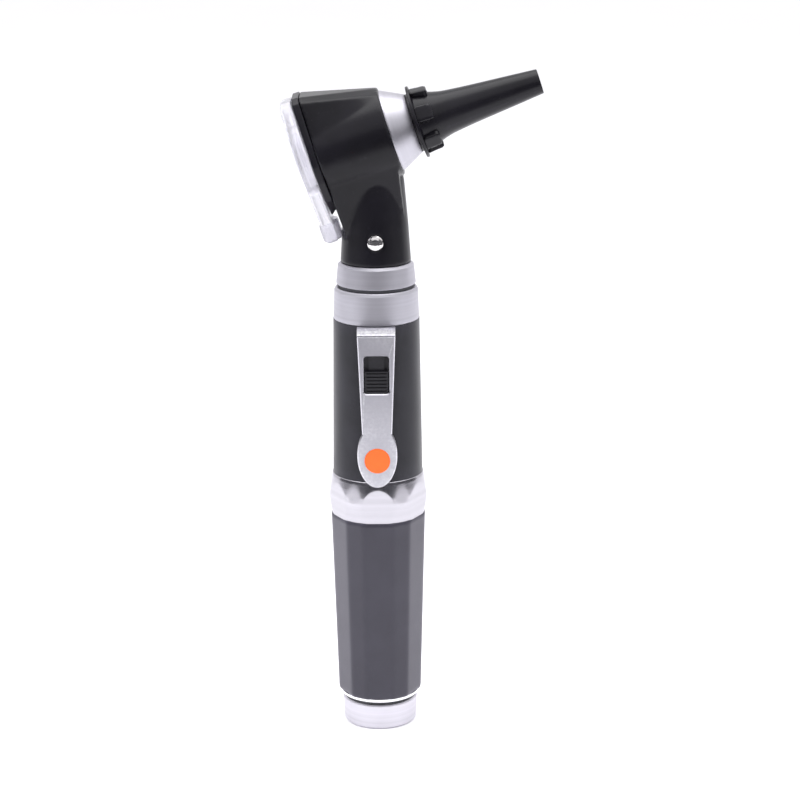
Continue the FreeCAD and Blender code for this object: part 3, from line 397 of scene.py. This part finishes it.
def clear(name, tone, rough, transmission=1.0, **constants):
    """Polished clear plastic or glass with smudges and a faint waviness."""
    finish = Finish(name, tone, Transmission_Weight=transmission, **constants)
    marks = finish.use("Handling marks", Scale=160.0, Amount=0.8)
    fine = finish.use("Moulded grain", Scale=260.0, Flow=35.0)
    finish.feed("Base Color", finish.wiring.mix(fine["Tone"], shade(tone, 0.985), tone))
    finish.feed("Roughness", finish.wiring.spread(marks["Smudge"], 0.0, 1.0, rough, rough + 0.07))
    finish.bump(fine["Tone"], 0.000004)
    return finish.material


def enamel(name, tone):
    """Glossy enamel with a faint orange-peel surface."""
    finish = Finish(name, tone, Coat_Weight=0.15, Coat_Roughness=0.1, Specular_IOR_Level=0.3)
    peel = finish.use("Moulded grain", Scale=900.0, Flow=220.0)
    marks = finish.use("Handling marks", Scale=260.0, Amount=0.6)
    finish.feed("Base Color", finish.wiring.mix(peel["Tone"], shade(tone, 0.94), shade(tone, 1.05)))
    finish.feed("Roughness", finish.wiring.spread(marks["Smudge"], 0.0, 1.0, 0.28, 0.42))
    finish.bump(peel["Height"], 0.000006)
    return finish.material


FINISHES = {}


def make_finishes(colours):
    """One material for each slot of the record."""
    tones = {name: tuple(getattr(colours, name)) for name in colours.__annotations__}
    FINISHES.update({
        "head_black": moulded("Head black", tones["head_black"], 0.3, Specular_IOR_Level=0.22),
        "bezel_black": moulded("Bezel black", shade(tones["head_black"], 1.3), 0.34,
                               Specular_IOR_Level=0.25),
        "speculum_black": moulded("Speculum black", tones["speculum_black"], 0.3, grain=0.000006,
                                  scale=5200.0, Specular_IOR_Level=0.24),
        "tube_charcoal": moulded("Tube charcoal", tones["tube_charcoal"], 0.34, Specular_IOR_Level=0.25,
                                 Sheen_Weight=0.06, Sheen_Roughness=0.35),
        # the grip's strong corner lightening is a painted highlight along its facet corners, with some rubbed wear
        "grip_grey": moulded("Grip grey", tones["grip_grey"], 0.32, contrast=0.08, wear_and_highlight=1.0, rub=3.0,
                             Specular_IOR_Level=0.35, Sheen_Weight=0.4, Sheen_Roughness=0.38,
                             Sheen_Tint=(0.9, 0.86, 1.0, 1.0)),
        "switch_black": moulded("Switch black", shade(tones["head_black"], 1.2), 0.42),
        "silver_cap": turned_metal("Cap silver", shade(tones["bright_silver"], 0.92), 0.5),
        "crown_silver": turned_metal("Crown silver", shade(tones["bright_silver"], 0.64), 0.2),
        "satin_silver": turned_metal("Satin silver", tones["satin_silver"], 0.48),
        "cone_silver": turned_metal("Cone silver", shade(tones["satin_silver"], 0.85), 0.42,
                                    place=on_view_axis),
        "bright_ring": turned_metal("Bright ring", (0.95, 0.95, 0.97), 0.14),
        "pin_steel": turned_metal("Pin steel", (0.55, 0.55, 0.57), 0.25),
        "spring_steel": turned_metal("Spring steel", (0.6, 0.6, 0.62), 0.28),
        "screw_chrome": turned_metal("Screw chrome", (0.74, 0.72, 0.72), 0.2, depth=0.000002),
        "contact_brass": turned_metal("Contact brass", (0.75, 0.55, 0.24), 0.28),
        "clip_steel": brushed("Clip steel", tones["clip_silver"], 0.34),
        "seal_rubber": rubber("Seal rubber", (0.02, 0.02, 0.024)),
        "sleeve_card": moulded("Sleeve", (0.35, 0.33, 0.3), 0.6),
        "cell_jacket": enamel("Cell jacket", (0.1, 0.11, 0.13)),
        "insulator": moulded("Insulator", (0.5, 0.47, 0.4), 0.5),
        "badge_orange": enamel("Disc orange", tones["badge_orange"]),
        "clear_plate": clear("Clear plate", tones["clear_tint"], 0.2, transmission=0.76, IOR=1.49),
        "clear_lens": clear("Clear lens", (0.97, 0.98, 1.0), 0.015, IOR=1.52),
        "bulb_glass": clear("Bulb glass", (0.98, 0.95, 0.88), 0.02, IOR=1.5),
    })


# ---------------------------------------------------------------- surfaces
SAME_SPOT = 1e-7            # points of a new skin this close are one point
NO_LENGTH = 1e-8            # an edge this short is dropped
CAD_SPOT = 2e-6             # points of a CAD mesh's loose triangles this close are one point
LONGEST_ROUNDING = 0.48     # share of a side that one corner's rounding may use
BEHIND = 1e-6               # stands for the cosine of a side that faces away
HANDLE_ANGLES = np.linspace(0, 2 * np.pi, 720, endpoint=False)
HANDLE_BORE = 0.92          # bore of the skins on the handle, as a share of the tail cap's radius


def closed_grid(name, spots, body, slot, *replaced):
    """A closed skin from a grid of points whose rows and columns both wrap round; poles are merged."""
    return joined_grids(name, [(spots, True)], body, slot, *replaced)


def settle(name, mesh, body, slot, replaced):
    """Merge doubles, turn the faces outwards, smooth them and put the piece on its body."""
    work = bmesh.new()
    work.from_mesh(mesh)
    bmesh.ops.remove_doubles(work, verts=work.verts, dist=SAME_SPOT)
    bmesh.ops.dissolve_degenerate(work, edges=work.edges, dist=NO_LENGTH)
    bmesh.ops.recalc_face_normals(work, faces=work.faces)
    if work.calc_volume(signed=True) < 0:
        bmesh.ops.reverse_faces(work, faces=work.faces)
    work.to_mesh(mesh)
    work.free()
    mesh.polygons.foreach_set("use_smooth", np.ones(len(mesh.polygons), dtype=bool))
    piece = bpy.data.objects.new(name, mesh)
    bpy.context.scene.collection.objects.link(piece)
    mesh.materials.append(FINISHES[slot])
    weighted = piece.modifiers.new("Even shading", "WEIGHTED_NORMAL")
    weighted.keep_sharp = True
    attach(piece, body)
    if replaced:
        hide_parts(*replaced)
    return piece


def rounded_profile(corners, steps):
    """Closed profile of corners (first, second, rounding), each corner a quadratic curve of some steps."""
    spots = np.array([corner[:2] for corner in corners], float)
    rounding = np.array([corner[2] for corner in corners], float)[:, None]
    before, after = np.roll(spots, 1, axis=0) - spots, np.roll(spots, -1, axis=0) - spots
    size_before = np.linalg.norm(before, axis=1, keepdims=True)
    size_after = np.linalg.norm(after, axis=1, keepdims=True)
    start = spots + before * np.minimum(rounding / size_before, LONGEST_ROUNDING)
    end = spots + after * np.minimum(rounding / size_after, LONGEST_ROUNDING)
    t = np.linspace(0, 1, steps)[None, :, None]
    curve = (1 - t) ** 2 * start[:, None] + 2 * t * (1 - t) * spots[:, None] + t ** 2 * end[:, None]
    return curve.reshape(-1, 2)


def facet_shape(angle, facets, power):
    """Radius of a many-sided prism with soft corners: the power mean of its sides' distances.

    Each facet is (direction, distance). Along an angle, a side is at distance / cos(angle - direction).
    """
    reach = [np.maximum(np.cos(angle - turn), BEHIND) / distance for turn, distance in facets]
    return np.sum(np.power(reach, power), axis=0) ** (-1.0 / power)


def handle_facets(wide, narrow):
    """Directions and distances of the handle's facets: six wide ones, and six narrow ones between."""
    return ([(math.radians(60 * k + 30), wide) for k in range(6)]
            + [(math.radians(60 * k), narrow) for k in range(6)])


def handle_rings(outer, heights):
    """Rings up the outside of a tube on the handle's axis and down its bore."""
    bore = HANDLE_BORE * high("tail_cap").x
    walls = np.concatenate([outer, np.full((2, HANDLE_ANGLES.size), bore)])
    levels = np.concatenate([heights, [heights[-1], heights[0]]])[:, None]
    return np.stack([walls * np.cos(HANDLE_ANGLES), walls * np.sin(HANDLE_ANGLES), levels + 0 * walls],
                    axis=-1)


def soft_block(centre, half, power, rows=15, columns=28):
    """A block with rounded edges: a sphere's directions over their power norm, times the half sizes."""
    up = np.linspace(-np.pi / 2, np.pi / 2, rows)[:, None]
    turn = np.linspace(0, 2 * np.pi, columns, endpoint=False)[None]
    ball = np.stack([np.cos(up) * np.cos(turn), np.cos(up) * np.sin(turn), np.sin(up) + 0 * turn],
                    axis=-1)
    ball = ball / (np.abs(ball) ** power).sum(axis=-1, keepdims=True) ** (1 / power)
    return np.array(centre) + ball * np.array(half)


def grid_faces(rows, columns, start=0, wrap_rows=True):
    """Quads of a grid whose columns wrap round, and whose rows do too if wrap_rows is true."""
    index = start + np.arange(rows * columns).reshape(rows, columns)
    across, up = np.roll(index, -1, axis=1), np.roll(index, -1, axis=0)
    quads = np.stack([index, across, np.roll(across, -1, axis=0), up], axis=-1)
    return (quads if wrap_rows else quads[:-1]).reshape(-1, 4)


def joined_grids(name, grids, body, slot, *replaced):
    """One piece from several grids; each is (points, rows wrap round)."""
    spots, quads, start = [], [], 0
    for grid, wrap in grids:
        rows, columns = grid.shape[:2]
        quads.append(grid_faces(rows, columns, start, wrap))
        spots.append(grid.reshape(-1, 3))
        start += rows * columns
    mesh = bpy.data.meshes.new(name)
    mesh.from_pydata(np.concatenate(spots).tolist(), [], np.concatenate(quads).tolist())
    return settle(name, mesh, body, slot, replaced)


def on_view(points):
    """Turn (along, up, side) in the viewing frame into the row's own coordinates."""
    side = VIEW_AXIS.cross(VIEW_UP)
    return (np.array(EAR_CENTRE) + points[..., 0:1] * np.array(VIEW_AXIS)
            + points[..., 1:2] * np.array(VIEW_UP) + points[..., 2:3] * np.array(side))


def moulded_copy(node, cell, passes, slot, body):
    """A CAD node's shape with soft moulded edges: its merged mesh, rebuilt in small cells and smoothed."""
    work = bmesh.new()
    work.from_mesh(NODES[node].data)
    bmesh.ops.remove_doubles(work, verts=work.verts, dist=CAD_SPOT)
    rough = bpy.data.meshes.new(node + "_rough")
    work.to_mesh(rough)
    work.free()
    maker = bpy.data.objects.new(node + "_rough", rough)
    bpy.context.scene.collection.objects.link(maker)
    cells = maker.modifiers.new("Cells", "REMESH")
    cells.mode = "VOXEL"
    cells.voxel_size = cell
    smooth = maker.modifiers.new("Soft edges", "SMOOTH")
    smooth.factor = 0.5
    smooth.iterations = passes
    mesh = bpy.data.meshes.new_from_object(maker.evaluated_get(bpy.context.evaluated_depsgraph_get()))
    bpy.data.objects.remove(maker)
    mesh.name = node.replace("_", " ") + " skin"
    mesh.materials.clear()
    return settle(node + "_skin", mesh, body, slot, (node,))


# ---------------------------------------------------------------- CAD nodes
def dress_nodes():
    """Give every CAD node its slot's finish."""
    slots = {part["node"]: part["material_slot"] for part in frame["record"]["subparts"]}
    for node, piece in NODES.items():
        piece.data.materials.clear()
        piece.data.materials.append(FINISHES[slots[node]])


# ---------------------------------------------------------------- operators
class OTOSCOPE_OT_finishes(bpy.types.Operator):
    """Make the materials and put them on the CAD nodes"""
    bl_idname = "otoscope.finishes"
    bl_label = "Finishes"

    def execute(self, context):
        make_finishes(context.scene.otoscope_finish)
        dress_nodes()
        return {"FINISHED"}


class OTOSCOPE_OT_grip(bpy.types.Operator):
    """Faceted grip with soft long corners"""
    bl_idname = "otoscope.grip"
    bl_label = "Grip"

    def execute(self, context):
        """Radius = corner radius at that height times the soft prism of six wide and six narrow facets."""
        bottom, top = low("grip_tube").z, high("grip_tube").z
        corner = handle_radius("grip_tube")
        # three rings round the lower edge, a straight taper, and one ring that closes the top edge
        foot_width, foot, lip = 0.8918, 0.0011, 0.0002
        share = np.linspace(0, 1, 48)
        widths = np.concatenate([[0.86, 0.876, 0.886], foot_width + (1 - foot_width) * share, [0.985]])
        heights = np.concatenate([[0, 0.0002, 0.0006], foot + (top - bottom - foot - lip) * share,
                                  [top - bottom]]) + bottom
        wide_half, narrow_half, softness = math.radians(18.1), math.radians(9.1), 75.0
        facets = handle_facets(math.cos(wide_half), math.cos(narrow_half))
        outer = corner * widths[:, None] * facet_shape(HANDLE_ANGLES, facets, softness)
        closed_grid("grip_skin", handle_rings(outer, heights), "handle", "grip_grey", "grip_tube")
        return {"FINISHED"}


class OTOSCOPE_OT_crown(bpy.types.Operator):
    """Crown ring whose facets run out into points under its round shoulder"""
    bl_idname = "otoscope.crown"
    bl_label = "Crown ring"

    def execute(self, context):
        """Radius = power mean of a round bulge, six facets that lean out and six narrow that lean in."""
        bottom, top = high("grip_tube").z, low("upper_tube").z
        widest = handle_radius("crown_ring")
        share = np.linspace(0, 1, 96)
        # the round bulge: at each share of the height, how far it is inside the widest radius in mm
        drop = np.interp(share, [0, 0.11, 0.24, 0.38, 0.49, 0.62, 0.77, 0.975, 1],
                         [0.7, 0.42, 0.18, 0.04, 0, 0.1, 0.38, 0.82, 1.05])
        reach = 6
        window = np.hanning(2 * reach + 1)
        drop = np.convolve(np.pad(drop, reach, mode="edge"), window / window.sum(), mode="valid")
        # the facets start a little below the ring; the wide ones lean out as they rise, the narrow in
        start_below = 0.0005
        rise = share + start_below / (top - bottom)
        wide_start, wide_lean = 0.001, 0.0005 / 0.907
        narrow_start, narrow_lean = 0.00065, 0.0014 / 0.997
        wide = 1 - (wide_start - wide_lean * rise) / widest
        narrow = 1 + (narrow_start - narrow_lean * rise) / widest
        bulge = 1 - drop * MM / widest
        softness = 260.0
        flats = [(np.maximum(np.cos(HANDLE_ANGLES[None] - turn), BEHIND) / size[:, None]) ** softness
                 for turn, size in handle_facets(wide, narrow)]
        outer = widest * ((bulge ** -softness)[:, None] + np.sum(flats, axis=0)) ** (-1 / softness)
        heights = bottom + share * (top - bottom)
        closed_grid("crown_skin", handle_rings(outer, heights), "handle", "crown_silver", "crown_ring")
        return {"FINISHED"}


class OTOSCOPE_OT_head(bpy.types.Operator):
    """Moulded lamp head and window bezel with soft edges"""
    bl_idname = "otoscope.head"
    bl_label = "Head and bezel"

    def execute(self, context):
        shape = context.scene.otoscope_shape
        moulded_copy("head_shell", shape.head_cell, 7, "head_black", "head")
        moulded_copy("window_bezel", 0.6 * shape.head_cell, 4, "bezel_black", "head")
        return {"FINISHED"}


class OTOSCOPE_OT_speculum(bpy.types.Operator):
    """Flared ear speculum with its flange and six grip lugs"""
    bl_idname = "otoscope.speculum"
    bl_label = "Speculum"

    def execute(self, context):
        """The wall's profile turned about the viewing axis, and six soft wedges round its wide end."""
        back, tip = view_extent("speculum")
        size = tip - back
        flange = view_radius("speculum")
        base, end, bore = 0.8068 * flange, 0.3386 * flange, EAR_MOUNT["dims"]["r_mm"] * MM
        wall = context.scene.otoscope_shape.speculum_wall
        crisp, soft, full = 0.0001, 0.00022, 1
        flange_back, flange_front = back + 0.017 * size, back + 0.038 * size
        # (share of the length, drop of the radius in mm): a quick flare, then a nearly straight taper
        flare = np.array([(0.04, 0), (0.068, 0.3), (0.119, 0.65), (0.166, 1.0), (0.198, 1.35),
                          (0.261, 1.85), (0.324, 2.1), (0.45, 2.55), (0.7, 3.25), (0.956, 3.98)])
        whole_drop = 4.12
        outside = [(end + (base - end) * (1 - drop / whole_drop), back + size * share, full)
                   for share, drop in flare]
        inside = [(radius - wall, along, full) for radius, along, _ in reversed(outside[:-1])]
        corners = ([(base - wall, back, crisp), (base, back, 2 * crisp), (base, flange_back, crisp),
                    (flange, flange_back, soft), (flange, flange_front, soft)] + outside
                   + [(end, tip - 0.0001, crisp), (end - 0.00015, tip, crisp), (bore, tip, crisp),
                      (bore, tip - 0.002, 3 * crisp)] + inside)
        profile = rounded_profile(corners, 5)
        angle = np.linspace(0, 2 * np.pi, 160, endpoint=False)
        body = np.stack([profile[:, 1:2] + 0 * angle, profile[:, 0:1] * np.cos(angle),
                         profile[:, 0:1] * np.sin(angle)], axis=-1)
        grids = [(on_view(body), True)]
        lugs, first_lug, lug_half_width, lug_softness = 6, 69.5, 0.00195, 9.0
        block = soft_block((0, 0, 0), (1, 1, 1), lug_softness)
        reach = (block[..., 0] + 1) / 2
        # each lug runs forward from 3% of the length, and gets lower as it goes
        for number in range(lugs):
            along = back + size * (0.03 + 0.136 * reach)
            inner = base - 0.0004 - 0.00105 * reach
            outer = base + 0.0008 - 0.0004 * reach
            radius = inner + (outer - inner) * (block[..., 1] + 1) / 2
            side = lug_half_width * block[..., 2]
            turn = math.radians(first_lug + number * 360 / lugs)
            lug = np.stack([along, radius * math.cos(turn) - side * math.sin(turn),
                            radius * math.sin(turn) + side * math.cos(turn)], axis=-1)
            grids.append((on_view(lug), False))
        joined_grids("speculum_skin", grids, "speculum", "speculum_black", "speculum")
        return {"FINISHED"}


class OTOSCOPE_OT_magnifier(bpy.types.Operator):
    """Clear swinging plate with rounded edges, its lens hole and its finger tab"""
    bl_idname = "otoscope.magnifier"
    bl_label = "Magnifier plate"

    def execute(self, context):
        """Rings run from the lens hole over the far face, round the edge and back over the near face."""
        middle, half = sum(view_extent("magnifier_lens")) / 2, 0.001475
        hole = view_radius("magnifier_lens") + 0.00002
        # (height, half width) in mm about the lens, from the top edge down to the finger tab
        half_outline = np.array([(14.6, 5.17), (13.9, 7.52), (11.5, 9.4), (-7.52, 9.4), (-12.22, 7.52),
                                 (-16.3, 5.17), (-20.2, 4.7), (-20.8, 3.76)]) * MM
        outline = np.concatenate([half_outline, half_outline[::-1] * (1, -1)])
        corner_rounding = 0.0018
        edge = rounded_profile([(height, width, corner_rounding) for height, width in outline], 8)
        turn = np.arctan2(edge[:, 1], edge[:, 0])
        order = np.argsort(turn)
        angle = np.linspace(-np.pi, np.pi, 360, endpoint=False)
        reach = np.interp(angle, turn[order], np.hypot(edge[:, 0], edge[:, 1])[order], period=2 * np.pi)
        steps = 7
        bend = np.linspace(0, np.pi / 2, steps)
        soft = context.scene.otoscope_shape.plate_edge
        inset = np.concatenate([soft * (1 - np.sin(bend)), soft * (1 - np.cos(bend))])
        depth = np.concatenate([soft * (1 - np.cos(bend)) - half, half - soft * (1 - np.sin(bend))])
        rim = reach - inset[:, None]
        flat = np.linspace(0, 1, steps, endpoint=False)[:, None]
        rings = np.concatenate([hole + (rim[0] - hole) * flat, rim,
                                (hole + (rim[-1] - hole) * flat)[::-1]])
        level = np.concatenate([np.full(steps, -half), depth, np.full(steps, half)])
        spots = np.stack([middle + level[:, None] + 0 * rings, rings * np.cos(angle),
                          rings * np.sin(angle)], axis=-1)
        tab_centre, tab_half, tab_softness = (middle + 0.0002, -0.0181, 0), (0.0024, 0.0025, 0.0041), 6.0
        tab = soft_block(tab_centre, tab_half, tab_softness)
        grids = [(on_view(spots), True), (on_view(tab), False)]
        joined_grids("magnifier_plate_skin", grids, "magnifier", "clear_plate", "magnifier_plate")
        return {"FINISHED"}


class OTOSCOPE_OT_stage(bpy.types.Operator):
    """Pale floor, soft studio light and the camera"""
    bl_idname = "otoscope.stage"
    bl_label = "Stage"

    def execute(self, context):
        stage = context.scene.otoscope_stage
        self.floor(context, stage)
        self.cards(context)
        self.lights(context, stage)
        self.camera(context, stage)
        return {"FINISHED"}

    def floor(self, context, stage):
        mesh = bpy.data.meshes.new("floor")
        reach = 4.0
        corners = [(-reach, -reach, 0), (reach, -reach, 0), (reach, reach, 0), (-reach, reach, 0)]
        mesh.from_pydata(corners, [], [(0, 1, 2, 3)])
        floor = bpy.data.objects.new("floor", mesh)
        context.scene.collection.objects.link(floor)
        finish = Finish("Floor", tuple(stage.floor_tone), Roughness=0.9)
        grain = finish.use("Moulded grain", Scale=300.0, Flow=5.0)
        finish.feed("Base Color", finish.wiring.mix(grain["Tone"], shade(stage.floor_tone, 0.99),
                                                    stage.floor_tone))
        mesh.materials.append(finish.material)

    def lights(self, context, stage):
        """Two side boxes that reflections don't see, a top box that they do, and an even pale sky."""
        target = Vector((0.0, 0.0, 0.09))
        for name, place, size, power in (
                ("left box", (-0.5, -0.22, 0.2), (0.2, 0.6), stage.side_light),
                ("right box", (0.5, -0.2, 0.2), (0.2, 0.6), 0.8 * stage.side_light),
                ("top box", (0.0, 0.05, 0.7), (0.7, 0.5), 1.5 * stage.side_light)):
            light = bpy.data.lights.new(name, "AREA")
            light.shape = "RECTANGLE"
            light.size, light.size_y = size
            light.energy = power
            lamp = bpy.data.objects.new(name, light)
            lamp.location = place
            lamp.rotation_euler = (target - Vector(place)).to_track_quat("-Z", "Y").to_euler()
            lamp.visible_glossy = name == "top box"
            context.scene.collection.objects.link(lamp)
        world = bpy.data.worlds.new("studio")
        world.use_nodes = True
        back = world.node_tree.nodes["Background"]
        back.inputs["Color"].default_value = (0.985, 0.98, 1.0, 1.0)
        back.inputs["Strength"].default_value = 1.08
        context.scene.world = world
        context.scene.view_settings.view_transform = "Standard"

    def cards(self, context):
        """Dark cards round the front that only reflections see; all but the front one clear the floor."""
        mesh = bpy.data.meshes.new("flag")
        corners = []
        plan = ((-0.5, 0.15), (-0.47, -0.08), (-0.34, -0.22), (-0.17, -0.3), (0.2, -0.3), (0.36, -0.22),
                (0.47, -0.08), (0.5, 0.15))
        front_card, raised, top = 3, 0.045, 0.27
        for number, ((x, y), (next_x, next_y)) in enumerate(zip(plan, plan[1:])):
            foot = 0.0 if number == front_card else raised
            corners += [(x, y, foot), (next_x, next_y, foot), (next_x, next_y, top), (x, y, top)]
        mesh.from_pydata(corners, [], np.arange(len(corners)).reshape(-1, 4).tolist())
        card = bpy.data.objects.new("flag", mesh)
        context.scene.collection.objects.link(card)
        finish = Finish("Flag", (0.04, 0.04, 0.045), Roughness=1.0)
        grain = finish.use("Moulded grain", Scale=200.0, Flow=6.0)
        finish.feed("Base Color", finish.wiring.mix(grain["Tone"], (0.035, 0.035, 0.04),
                                                    (0.05, 0.05, 0.055)))
        mesh.materials.append(finish.material)
        card.visible_camera = False
        card.visible_diffuse = False
        card.visible_shadow = False
        card.visible_transmission = False

    def camera(self, context, stage):
        lens = bpy.data.cameras.new("camera")
        lens.sensor_width = 36.0
        lens.lens = stage.camera_lens
        camera = bpy.data.objects.new("camera", lens)
        place = Matrix.Translation((stage.camera_x, -stage.camera_distance, stage.camera_height))
        pitch = Matrix.Rotation(math.pi / 2 - stage.camera_pitch, 4, "X")
        camera.matrix_world = place @ pitch @ Matrix.Rotation(stage.camera_roll, 4, "Z")
        context.scene.collection.objects.link(camera)
        context.scene.camera = camera


class OTOSCOPE_PT_panel(bpy.types.Panel):
    """Buttons for every piece and the stage"""
    bl_idname = "OTOSCOPE_PT_panel"
    bl_label = "Otoscope"
    bl_space_type = "VIEW_3D"
    bl_region_type = "UI"
    bl_category = "Otoscope"

    def draw(self, context):
        for operator in OPERATORS:
            self.layout.operator(operator.bl_idname)
        for group in SETTINGS:
            settings = getattr(context.scene, group)
            for name in settings.__annotations__:
                self.layout.prop(settings, name)


OPERATORS = (OTOSCOPE_OT_finishes, OTOSCOPE_OT_grip, OTOSCOPE_OT_crown, OTOSCOPE_OT_head,
             OTOSCOPE_OT_speculum, OTOSCOPE_OT_magnifier, OTOSCOPE_OT_stage)
SETTINGS = {"otoscope_finish": OtoscopeFinish, "otoscope_shape": OtoscopeShape,
            "otoscope_stage": OtoscopeStage}


def register():
    for made in (*SETTINGS.values(), *OPERATORS, OTOSCOPE_PT_panel):
        bpy.utils.register_class(made)
    for name, group in SETTINGS.items():
        setattr(bpy.types.Scene, name, PointerProperty(type=group))


def unregister():
    for name in SETTINGS:
        delattr(bpy.types.Scene, name)
    for made in (OTOSCOPE_PT_panel, *reversed(OPERATORS), *SETTINGS.values()):
        bpy.utils.unregister_class(made)


def main():
    register()
    for operator in OPERATORS:
        family, name = operator.bl_idname.split(".")
        getattr(getattr(bpy.ops, family), name)()


if __name__ == "__main__":
    main()
